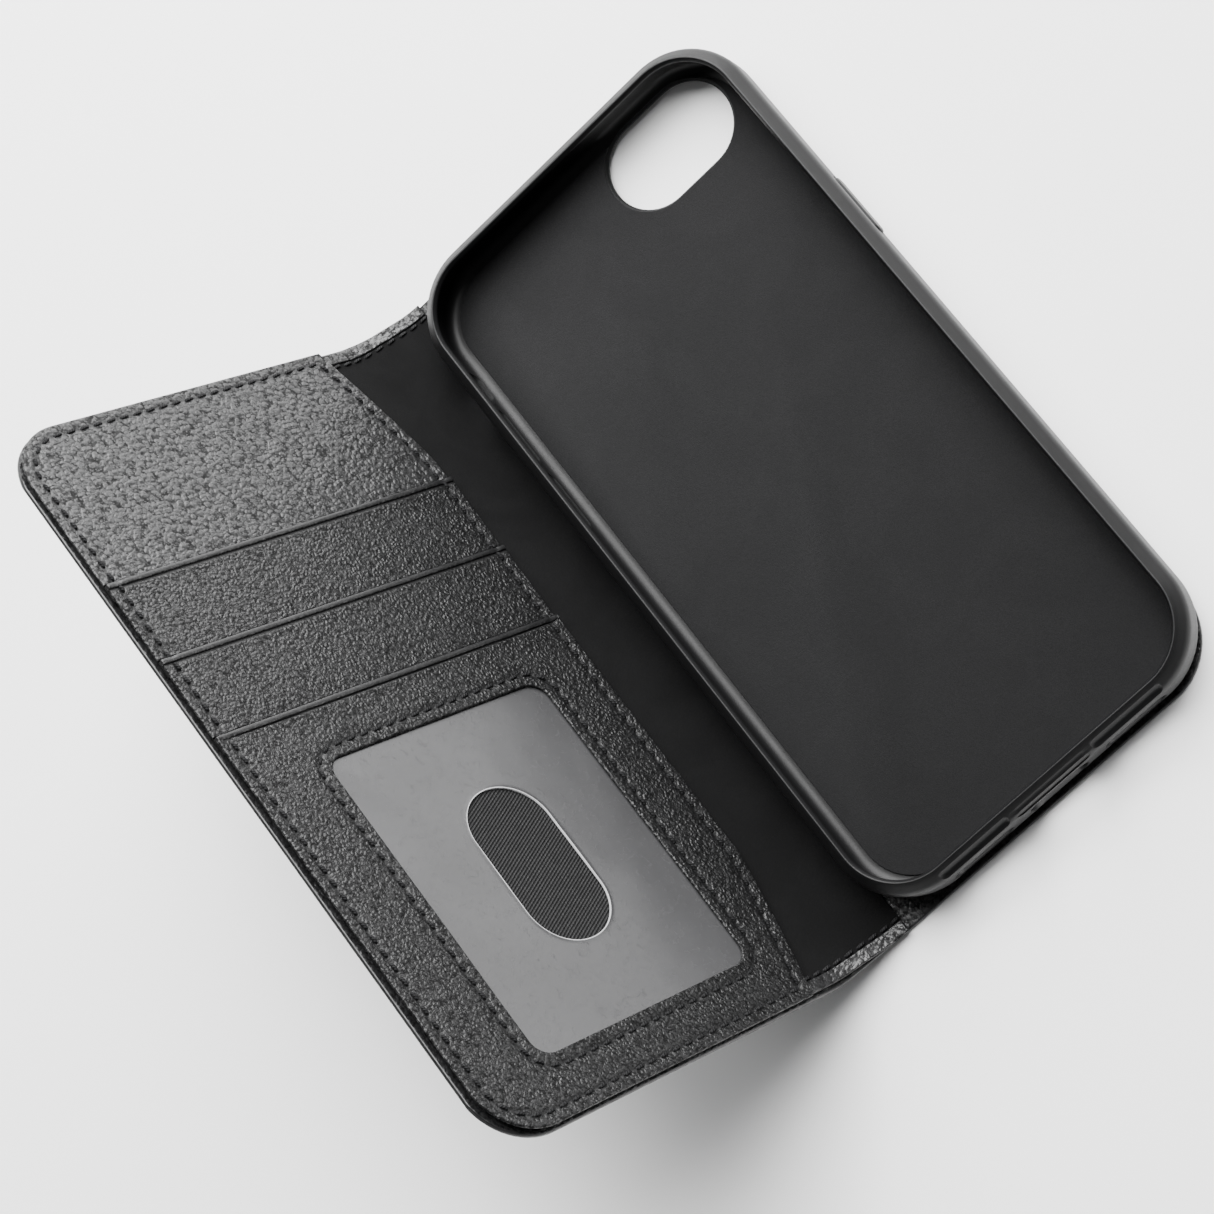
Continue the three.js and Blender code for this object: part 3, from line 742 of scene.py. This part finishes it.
def outer_leather(name, s, fold, node, more=()):
    """A stretch of the outer leather across one fold, with painted edges."""
    v_steps = edge_steps(2 * COVER_H, 1.6)
    t = v_steps / COVER_H - 1
    grid_s, grid_t = np.meshgrid(s, t, indexing="ij")
    half = half_height(grid_s)
    v = np.sign(grid_t) * (half - (1 - np.abs(grid_t)) * COVER_H)
    inner = (1 - np.abs(grid_t)) * COVER_H > END_BAND
    v = np.where(inner, grid_t * COVER_H * (half - END_BAND) / (COVER_H - END_BAND), v)
    ends = np.minimum(grid_s + TRAY_RUN, SPINE_W + COVER_W - grid_s)
    edge = np.minimum(np.abs(ends), half - np.abs(v))
    round_in = soft_edge(np.maximum(edge, 0), 0.36)
    ripple = waviness(grid_s, v, 30, 0.10)
    top = on_path(grid_s, v, INSIDE_W - round_in)
    lift = np.where(grid_s > 2, np.clip((grid_s - 2) / 8, 0, 1), 0)
    bottom = on_path(grid_s, v, OUTSIDE_W + round_in + lift * np.abs(ripple))
    points, faces = slab(top, bottom)
    obj = face_out(build(name, points, faces, OUTER_LEATHER, edge_material=EDGE_PAINT))
    mark_edges(obj, np.concatenate([edge.ravel(), edge.ravel()]) < 0.34)
    if name == "outer_leather_tray":
        cut(obj, [spool(lambda g: stadium(*(CAMERA_HALF + 0.6), g, 14), 0.0, LEATHER_T, 0.25,
                        lying(CAMERA_MID))])
    flexible(obj, fold)
    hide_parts(node, *more)
    return obj


def outer_leathers():
    fine = np.linspace(-BEND_REACH - 0.5, MID_SPINE, 22)
    straight = np.arange(-TRAY_RUN + BACK_R, fine[0], 1.6)
    first = np.concatenate([corner_steps(-TRAY_RUN, BACK_R, -1), straight, fine])
    outer_leather("outer_leather_tray", np.unique(first.round(4)), 0, "back_leather")
    fine = np.linspace(MID_SPINE, SPINE_W + BEND_REACH + 0.5, 24)
    end = SPINE_W + COVER_W
    straight = np.arange(fine[-1] + 1.2, end - COVER_R, 1.6)
    second = np.concatenate([fine, straight, corner_steps(end, COVER_R, 1)])
    outer_leather("outer_leather_cover", np.unique(second.round(4)), 1, "cover_leather", ["spine_leather"])


def pocket_edge(v):
    """u of the pocket edge beside the spine: straight in the middle, drawn back to both ends."""
    t = np.clip((np.abs(v) - EDGE_STRAIGHT) / (COVER_H - EDGE_STRAIGHT), 0, 1)
    return EDGE_MID + EDGE_BACK * t**1.2


LINING_FROM, LINING_UNDER = -2.5, 1.6


def spine_strip(name, fold, v0, v1, w0, w1, material, slot, radius):
    """A layer on the inside of the spine, from under the tray to under the pocket edge."""
    v = v0 + edge_steps(v1 - v0, 1.2)
    t = np.linspace(0, 1, 34 if fold else 26)
    grid_v, grid_t = np.meshgrid(v, t, indexing="ij")
    lo = LINING_FROM if fold == 0 else MID_SPINE
    hi = MID_SPINE if fold == 0 else SPINE_W + pocket_edge(grid_v) + LINING_UNDER
    s = lo + (hi - lo) * grid_t
    d = np.minimum(grid_v - v0, v1 - grid_v)
    wave = waviness(s, grid_v, 9, 0.09)
    fade = np.clip(d / 2, 0, 1)
    top = on_path(s, grid_v, w1 - soft_edge(d, radius) + wave * fade)
    points, faces = slab(top, on_path(s, grid_v, w0))
    obj = face_out(build(name, points, faces, material, slot=slot))
    return flexible(obj, fold)


HEM_TOP, LINING_TOP = 1.12, 0.80


def spine_layers():
    """The suede lining with a turned leather edge over each of its ends, and their seams."""
    edge = back_high[1] + 0.15
    for fold, tag in enumerate(("tray", "cover")):
        lining = spine_strip("spine_suede_" + tag, fold, -edge + 0.6, edge - 0.6,
                             INSIDE_W + 0.03, LINING_TOP, SPINE_SUEDE, "suede", 0.2)
        if fold:
            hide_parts("spine_lining")
        for side, end in ((1, "top"), (-1, "bottom")):
            a, b = sorted((side * (edge - HEM), side * edge))
            spine_strip(f"spine_hem_{end}_{tag}", fold, a, b, LINING_TOP - 0.25,
                                    HEM_TOP, PANEL_LEATHER, "leather", 0.22)
    for side, end in ((1, "top"), (-1, "bottom")):
        v = side * (edge - HEM - SPINE_STITCH)
        at = np.arange(-1.6, SPINE_W + 7.2, PITCH * 0.9)
        for fold, tag in enumerate(("tray", "cover")):
            s = at[(at < MID_SPINE) == (fold == 0)]
            centre = on_path(s, np.full(len(s), v), LINING_TOP + 0.04)
            ahead = on_path(s + 0.1, np.full(len(s), v), LINING_TOP + 0.04)
            _, across = path(s)
            normal = np.stack([across[:, 0], 0 * s, across[:, 1]], -1)
            obj = stitch_run(f"spine_stitches_{end}_{tag}", centre, ahead - centre, normal)
            flexible(obj, fold)
            if fold:
                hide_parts("spine_seam_" + end)


SPINE_STITCH = 0.55


# ---------------------------------------------------------------- stitches
def stitch_run(name, centres, tangents, normals, body=None):
    """One mesh of separate stitches. Each rises out of its hole, lies on the leather and goes back
    down, a little across the line of the seam."""
    along, about = 13, 8
    radius = 0.30
    points, faces = [], []
    for k, (c, t, n) in enumerate(zip(centres, tangents, normals)):
        t = t / np.linalg.norm(t)
        side = np.cross(n, t)
        slant = 0.13 + 0.05 * noise.noise(Vector(c) * 0.9)
        t = t * math.cos(slant) + side * math.sin(slant)
        side = np.cross(n, t)
        size = 2.1 * (1 + 0.06 * noise.noise(Vector(c) * 1.7 + Vector((5, 1, 2))))
        base = len(points)
        for i in range(along):
            x = i / (along - 1) * 2 - 1
            r = radius * math.sqrt(max(0.0, 1 - abs(x) ** 5)) + 0.01
            rise = radius * 0.55 - 0.55 * abs(x) ** 3.2
            mid = c + t * (x * size / 2) + n * rise
            for j in range(about):
                a = 2 * math.pi * j / about
                points.append(mid + r * (math.cos(a) * side + 0.85 * math.sin(a) * n))
        faces += [list(f) for f in grid_faces(along, about, base, closed=True)]
        faces += [list(range(base, base + about))[::-1],
                  list(range(base + (along - 1) * about, base + along * about))]
    obj = face_out(build(name, points, faces, THREAD, body, "thread"))
    layer = obj.data.uv_layers.new(name="twist")
    for loop in obj.data.loops:
        i = loop.vertex_index % (along * about)
        layer.data[loop.index].uv = (i // about / (along - 1) * 2, i % about / about)
    return obj


# ---------------------------------------------------------------- pocket side of the cover
THICK, ROLL = 0.42, 0.26  # leather of a strip, and the extra height of its lip
OVERLAP = 3.0  # how far a strip is tucked under the lip in front
LIP_CREASE = 1.06  # lip to the crease below it
STRIP_LOW = cover_span("top_panel")[0][2]
STRIP_HIGH = cover_span("window_panel")[0][2]


def outline_gap(u, v):
    """Distance inside the outline of the pocket side."""
    slope = 1.0 / np.sqrt(1 + (EDGE_BACK / (COVER_H - EDGE_STRAIGHT) * (np.abs(v) > EDGE_STRAIGHT)) ** 2)
    d = np.minimum((u - pocket_edge(v)) * slope, np.minimum(PANEL_H - np.abs(v), PANEL_U1 - u))
    cu, cv = u - (PANEL_U1 - PANEL_R), np.abs(v) - (PANEL_H - PANEL_R)
    return np.where((cu > 0) & (cv > 0), PANEL_R - np.hypot(cu, cv), d)


def window_gap(u, v):
    """Distance outside the window opening."""
    du = np.abs(u - WINDOW_MID[0]) - (WINDOW_HALF[0] - WINDOW_R)
    dv = np.abs(v - WINDOW_MID[1]) - (WINDOW_HALF[1] - WINDOW_R)
    return np.hypot(np.maximum(du, 0), np.maximum(dv, 0)) + np.minimum(np.maximum(du, dv), 0) - WINDOW_R


def seam_gap(u, v):
    """Distance from the line of the nearest seam."""
    return np.minimum(np.abs(outline_gap(u, v) - STITCH_IN), np.abs(window_gap(u, v) - WINDOW_STITCH))


def free_corner(u1, h, r, degrees):
    """Points round the lower corner at the free edge."""
    arc = np.radians(np.arange(0, 91, degrees))
    return np.column_stack([u1 - r + r * np.sin(arc), -h + r - r * np.cos(arc)])


def outline_loop(inset):
    """Points round the pocket side, inset from its outline, anticlockwise in u, v."""
    h, r, u1 = PANEL_H - inset, PANEL_R - inset, PANEL_U1 - inset
    v = np.linspace(h, -h, 120)
    spine_side = np.column_stack([pocket_edge(v) + inset, v])
    low = free_corner(u1, h, r, 5)
    high = low[::-1] * (1, -1)
    return np.concatenate([spine_side, low, high])


def spaced(loop, pitch):
    """Evenly spaced points along a loop, and the direction at each."""
    pts = np.vstack([loop, loop[:1]])
    step = np.linalg.norm(np.diff(pts, axis=0), axis=1)
    length = np.concatenate([[0], np.cumsum(step)])
    count = round(length[-1] / pitch)
    at = (np.arange(count) + 0.5) * length[-1] / count
    out = np.column_stack([np.interp(at, length, pts[:, i]) for i in (0, 1)])
    ahead = np.column_stack([np.interp(np.minimum(at + 0.2, length[-1]), length, pts[:, i]) for i in (0, 1)])
    behind = np.column_stack([np.interp(np.maximum(at - 0.2, 0), length, pts[:, i]) for i in (0, 1)])
    return out, ahead - behind


POCKET_SEAM = spaced(outline_loop(STITCH_IN), PITCH)
window_line = rounded_rect(*(WINDOW_HALF + WINDOW_STITCH), WINDOW_R + WINDOW_STITCH)
WINDOW_SEAM = spaced(window_line + WINDOW_MID, PITCH)


def hole_tree():
    """The needle holes: both ends of every stitch."""
    ends = []
    for at, way in (POCKET_SEAM, WINDOW_SEAM):
        way = way / np.linalg.norm(way, axis=1, keepdims=True)
        ends += list(at + way * 1.05) + list(at - way * 1.05)
    tree = KDTree(len(ends))
    for i, (u, v) in enumerate(ends):
        tree.insert((u, v, 0.0), i)
    tree.balance()
    return tree


HOLES = hole_tree()


def sewn(u, v):
    """How far the leather is pulled down by the seams at u, v."""
    flat_u, flat_v = np.ravel(u), np.ravel(v)
    line = seam_gap(flat_u, flat_v)
    pull = 0.10 * np.exp(-(line / 0.75) ** 2)
    for i in np.nonzero(line < 1.2)[0]:
        gap = HOLES.find((flat_u[i], flat_v[i], 0.0))[2]
        pull[i] += 0.16 * math.exp(-(gap / 0.42) ** 2)
    return pull.reshape(np.shape(u))


def strip_height(v, v_low, v_lip, w_low, w_lip):
    """Underside of a strip that rises from its tucked end to its lip."""
    return w_low + (w_lip - w_low) * np.clip((v - v_low) / (v_lip - 1.2 - v_low), 0, 1)


def lip_roll(v, v_lip):
    """The folded lip: a narrow bead, with a creased line below it."""
    d = v_lip - v
    bead = ROLL * np.clip(1 - ((d - 0.42) / 0.55) ** 2, 0, 1) ** 0.5
    return bead + 0.10 * smoothstep((3.0 - d) / 1.8) - 0.15 * np.exp(-(((d - LIP_CREASE) / 0.17) ** 2))


def lip_shade(k, v):
    """Lines of painted shade on strip k, below its own bead and where it goes under the lip in front; the
    bead itself is smooth, which counts below 0."""
    own = 0.0 * v
    if k:
        d = LIPS[k - 1] - v
        own = 0.95 * np.exp(-(((d - LIP_CREASE) / 0.20) ** 2)) - 0.85 * smoothstep((0.95 - d) / 0.2)
    if k < len(LIPS):
        # painted shade where the strip goes under the lip in front
        tucked = np.clip((LIPS[k] + 0.42 - v) / 0.16, 0, 1)
        own = np.where(tucked > 0, tucked, own)
    return own


STRIPS = [(LIPS[0] - OVERLAP, None, STRIP_LOW, STRIP_LOW)]
STRIPS += [(LIPS[k + 1] - OVERLAP, LIPS[k], STRIP_LOW, STRIP_HIGH) for k in range(len(LIPS) - 1)]
STRIPS += [(-PANEL_H, LIPS[-1], STRIP_HIGH, STRIP_HIGH)]


def slot_dip(k, v):
    """The leather behind a lip gives a little where cards go in."""
    if k >= len(LIPS):
        return 0.0 * v
    d = v - LIPS[k]
    return 0.26 * smoothstep((0.5 - d) / 0.4) + 0.05 * np.exp(-((d / 2.2) ** 2))


def seam_shade(u, v):
    """Painted shade along the line that a seam pulls into the leather."""
    return 0.45 * np.exp(-((seam_gap(u, v) / 0.36) ** 2))


def lip_and_seam_shade(k, u, v):
    """Seam and lip lines of strip k together: painted shade above 0, flattened grain below 0."""
    lip, seam = lip_shade(k, v), seam_shade(u, v)
    return np.where(np.abs(lip) > seam, lip, seam)


def strip_top(k, u, v):
    """Outer face of strip k."""
    v_low, v_lip, w_low, w_lip = STRIPS[k]
    w = w_low if v_lip is None else strip_height(v, v_low, v_lip, w_low, w_lip) + lip_roll(v, v_lip)
    w = w + THICK - soft_edge(np.maximum(outline_gap(u, v), 0), 0.3) - sewn(u, v)
    swell = waviness(u, v, 8.5, 0.07, seed=3.0 * k)
    w = w - slot_dip(k, v)
    return w + swell * np.clip(outline_gap(u, v) / 3, 0, 1)


def exposed_top(u, v):
    """Outer face of whichever strip shows at u, v."""
    out = np.zeros(np.shape(u))
    for k in range(len(STRIPS)):
        above = v > LIPS[k] if k < len(LIPS) else np.full(np.shape(v), True)
        below = v <= LIPS[k - 1] if k else np.full(np.shape(v), True)
        use = above & below
        if use.any():
            out[use] = strip_top(k, u[use], v[use])
    return out


def span_u(v, inset=0.0):
    """From pocket edge to free edge at height v."""
    h, r = PANEL_H - inset, PANEL_R - inset
    into = np.clip(np.abs(v) - (h - r), 0, r)
    return pocket_edge(v) + inset, PANEL_U1 - inset - (r - np.sqrt(np.maximum(r * r - into**2, 0)))


def strip_grid(v0, v1, inset=0.0, step=0.55, also=()):
    """Rows and columns of u, v over the pocket side from v0 to v1, crowded at its edges."""
    rows = np.unique(np.concatenate([v0 + edge_steps(v1 - v0, step), also]).round(5))
    if v1 > PANEL_H - PANEL_R:
        a = np.radians(np.concatenate([[0.0, 3, 6, 9], np.arange(13, 91, 5)]))
        r = PANEL_R - inset
        rows = np.unique(np.concatenate([rows[rows < v1 - r - 0.2], v1 - r * (1 - np.cos(a))]).round(5))
    lo, hi = span_u(rows, inset)
    widest = PANEL_U1 - EDGE_MID
    t = edge_steps(widest, step)
    near_end = widest - t
    fixed = 1.15
    u = np.empty((len(rows), len(t)))
    for i in range(len(rows)):
        width = hi[i] - lo[i]
        inner = (t - fixed) / (widest - 2 * fixed)
        u[i] = np.where(t < fixed, lo[i] + t, np.where(near_end < fixed, hi[i] - near_end,
                                                       lo[i] + fixed + inner * (width - 2 * fixed)))
    return u, np.repeat(rows[:, None], len(t), 1)


def on_cover_piece(name, points, faces, material, slot, node, **kw):
    obj = face_out(build(name, points, faces, material, "cover", slot, **kw))
    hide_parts(node)
    return obj


def pocket_strip(k, node):
    """Strip k: the top panel or a card slot below it."""
    v_low, v_lip, w_low, w_lip = STRIPS[k]
    v1 = PANEL_H if v_lip is None else v_lip
    behind = LIPS[k] + np.array([0.0, 0.1, 0.2, 0.28, 0.35, 0.42, 0.5, 0.62, 0.8])
    u, v = strip_grid(v_low, v1, also=behind)
    under = w_low if v_lip is None else strip_height(v, v_low, v_lip, w_low, w_lip)
    points, faces = slab(on_cover(u, v, strip_top(k, u, v)), on_cover(u, v, under + 0 * u))
    material = STRIP_LEATHER if k else PANEL_LEATHER
    obj = on_cover_piece(node + "_leather", points, faces, material, "leather_inside", node)
    store_crease_shade(obj, lip_and_seam_shade(k, u, v))


def radial_grid(inner, outer, steps=30, fine=(0, 0.04, 0.1, 0.18, 0.3, 0.45, 0.6, 0.8, 0.95, 1.1, 1.3)):
    """Points between two loops of equally many points: rows run out, columns go round."""
    way = (outer - inner) / np.linalg.norm(outer - inner, axis=1, keepdims=True)
    rows = [inner + way * f for f in fine]
    back = [outer - way * f for f in reversed(fine)]
    rows += [rows[-1] + (back[0] - rows[-1]) * i / steps for i in range(1, steps)]
    grid = np.stack(rows + back)
    return grid[..., 0], grid[..., 1]


def facing_loop(outer, half, radius, mid):
    """For each point of the outer loop, the point of a rounded rectangle that faces it."""
    out = np.empty_like(outer)
    core = half - radius
    for i, p in enumerate(outer):
        lo, hi = 0.0, 1.0
        for _ in range(30):
            m = (lo + hi) / 2
            q = np.abs((p - mid) * m) - core
            gap = np.hypot(*np.maximum(q, 0)) + min(max(q), 0) - radius
            lo, hi = (m, hi) if gap < 0 else (lo, m)
        out[i] = mid + (p - mid) * lo
    return out


def window_panel():
    """The lowest strip, a ring of leather round the window."""
    lip = LIPS[-1]
    v = np.linspace(lip, -PANEL_H, 150)
    spine_side = np.column_stack([pocket_edge(v), v])
    bottom = np.linspace(pocket_edge(-PANEL_H), PANEL_U1 - PANEL_R, 100)[1:-1]
    bottom = np.column_stack([bottom, np.full(len(bottom), -PANEL_H)])
    low = free_corner(PANEL_U1, PANEL_H, PANEL_R, 3)
    v = np.linspace(-PANEL_H + PANEL_R, lip, 120)[1:]
    free = np.column_stack([np.full(len(v), PANEL_U1), v])
    top = np.linspace(PANEL_U1, EDGE_MID, 130)[1:-1]
    top = np.column_stack([top, np.full(len(top), lip)])
    outer = np.concatenate([spine_side, bottom, low, free, top])
    inner = facing_loop(outer, WINDOW_HALF, WINDOW_R, WINDOW_MID)
    u, v = radial_grid(inner, outer)
    k = len(STRIPS) - 1
    top_w = strip_top(k, u, v) - soft_edge(np.maximum(window_gap(u, v), 0), 0.3)
    points, faces = slab(on_cover(u, v, top_w), on_cover(u, v, STRIP_HIGH), closed=True)
    obj = on_cover_piece("window_panel_leather", points, faces, STRIP_LEATHER, "leather_inside",
                         "window_panel")
    store_crease_shade(obj, lip_and_seam_shade(k, u, v))


def window_film():
    """The frosted film behind the window, with its thumb opening."""
    outer = rounded_rect(*(WINDOW_HALF + FILM_LAP), WINDOW_R + FILM_LAP, 24, 0.7) + WINDOW_MID
    inner = facing_loop(outer, OVAL_HALF, OVAL_HALF[0] - 0.001, WINDOW_MID)
    u, v = radial_grid(inner, outer, 26)
    ripple = waviness(u, v, 17, 0.16, seed=8.0)
    ripple = ripple * np.clip(window_gap(u, v) / -5, 0, 1)
    low, high = film_low[2], film_high[2]
    d = np.hypot(*((u, v) - inner.T[:, None, :]))
    lipped = 0.10 * np.exp(-(d / 0.5) ** 2)
    top = on_cover(u, v, high - 0.05 + ripple - soft_edge(d, 0.08) + lipped)
    points, faces = slab(top, on_cover(u, v, low + ripple), closed=True)
    obj = on_cover_piece("window_film_sheet", points, faces, FILM, "film", "window_film",
                         edge_material=FILM_EDGE_HIGHLIGHT)
    # faces at the edge of the thumb opening get the light grey painted highlight colour
    mark_edges(obj, np.concatenate([d.ravel(), d.ravel()]) < 0.20)


def twill_layer(node):
    """The fabric back of one pocket."""
    low, high = cover_span(node)
    u, v = strip_grid(low[1], high[1], inset=1.0, step=1.1)
    ripple = waviness(u, v, 12, 0.05, seed=5.0)
    points, faces = slab(on_cover(u, v, high[2] + ripple), on_cover(u, v, low[2] + ripple))
    obj = on_cover_piece(node + "_twill", points, faces, POCKET_TWILL, "twill", node)


def stiffener():
    """The board between the outer leather and the pockets."""
    low, high = cover_span("cover_board")
    u, v = strip_grid(low[1], high[1], inset=2.6, step=2.5)
    u = np.maximum(u, pocket_edge(v) + 3.2)
    points, faces = slab(on_cover(u, v, high[2] + 0 * u), on_cover(u, v, low[2] + 0 * u))
    on_cover_piece("stiffener", points, faces, BOARD, "board", "cover_board")


def cover_stitches(name, seam, node):
    """Stitches of a seam, lying on whichever strip shows there."""
    at, way = seam
    w = exposed_top(at[:, 0], at[:, 1]) + sewn(at[:, 0], at[:, 1]) - 0.10
    centres = on_cover(at[:, 0], at[:, 1], w)
    tangents = way[:, :1] * ALONG_U + way[:, 1:] * np.array([0.0, 1.0, 0.0])
    normals = np.repeat(ALONG_W[None], len(at), 0)
    obj = stitch_run(name, centres, tangents, normals, "cover")
    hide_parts(node)


def pocket_side():
    stiffener()
    for k in (1, 2, 3):
        twill_layer(f"pocket_lining_{k}")
    for k, node in enumerate(("top_panel", "pocket_panel_1", "pocket_panel_2")):
        pocket_strip(k, node)
    window_panel()
    window_film()
    cover_stitches("pocket_stitches", POCKET_SEAM, "pocket_seam")
    cover_stitches("window_stitches", WINDOW_SEAM, "window_seam")


# ---------------------------------------------------------------- stage, light and camera
def area_light(name, place, aim, size, power):
    data = bpy.data.lights.new(name, "AREA")
    data.shape, data.size, data.size_y = "RECTANGLE", *size
    data.energy = power
    obj = bpy.data.objects.new(name, data)
    obj.location = place
    obj.rotation_euler = (Vector(aim) - Vector(place)).to_track_quat("-Z", "Y").to_euler()
    return shown(obj)


def studio():
    half = 3.0
    points = np.array([(-half, -half, 0), (half, -half, 0), (half, half, 0), (-half, half, 0)]) / MM
    floor = build("studio_floor", points, [(0, 1, 2, 3)], studio_floor("studio_floor_paper"))
    lights = [
        area_light("key", (0.20, 0.34, 0.16), (-0.07, 0.06, 0.04), (0.20, 0.14), 2.1),
        area_light("side", (0.70, 0.46, 0.30), (-0.02, 0.0, 0.03), (0.5, 0.3), 4.5),
        area_light("top_end", (-0.10, 0.36, 0.40), (0.0, 0.04, 0.02), (0.36, 0.24), 3.0),
        area_light("overhead", (0.9, 1.1, 2.0), (0, 0, 0), (2.0, 2.0), 235.0),
    ]
    world = bpy.data.worlds.new("studio_air")
    world.use_nodes = True
    sky = world.node_tree.nodes["Background"].inputs
    sky["Color"].default_value = (1, 1, 1, 1)
    sky["Strength"].default_value = 0.15
    bpy.context.scene.world = world


VIEW_FROM = (0.10527, -0.19088, 0.55629)
VIEW_RIGHT = Vector((0.7105, -0.5815, -0.3963))
VIEW_UP = Vector((0.6598, 0.7463, 0.0880))
VIEW_LENS = 101.88


def camera():
    data = bpy.data.cameras.new("photo_camera")
    data.sensor_width, data.lens = 36.0, VIEW_LENS
    data.clip_start, data.clip_end = 0.01, 20.0
    obj = bpy.data.objects.new("photo_camera", data)
    turn = Matrix((VIEW_RIGHT, VIEW_UP, VIEW_RIGHT.cross(VIEW_UP))).transposed().to_4x4()
    obj.matrix_world = Matrix.Translation(VIEW_FROM) @ turn
    bpy.context.scene.camera = shown(obj)


tray_shell()
for (node, side), body in zip(BUTTONS, ("volume_up", "volume_down", "side_key")):
    button(node, side, body)
floor_lining()
outer_leathers()
spine_layers()
pocket_side()
studio()
camera()
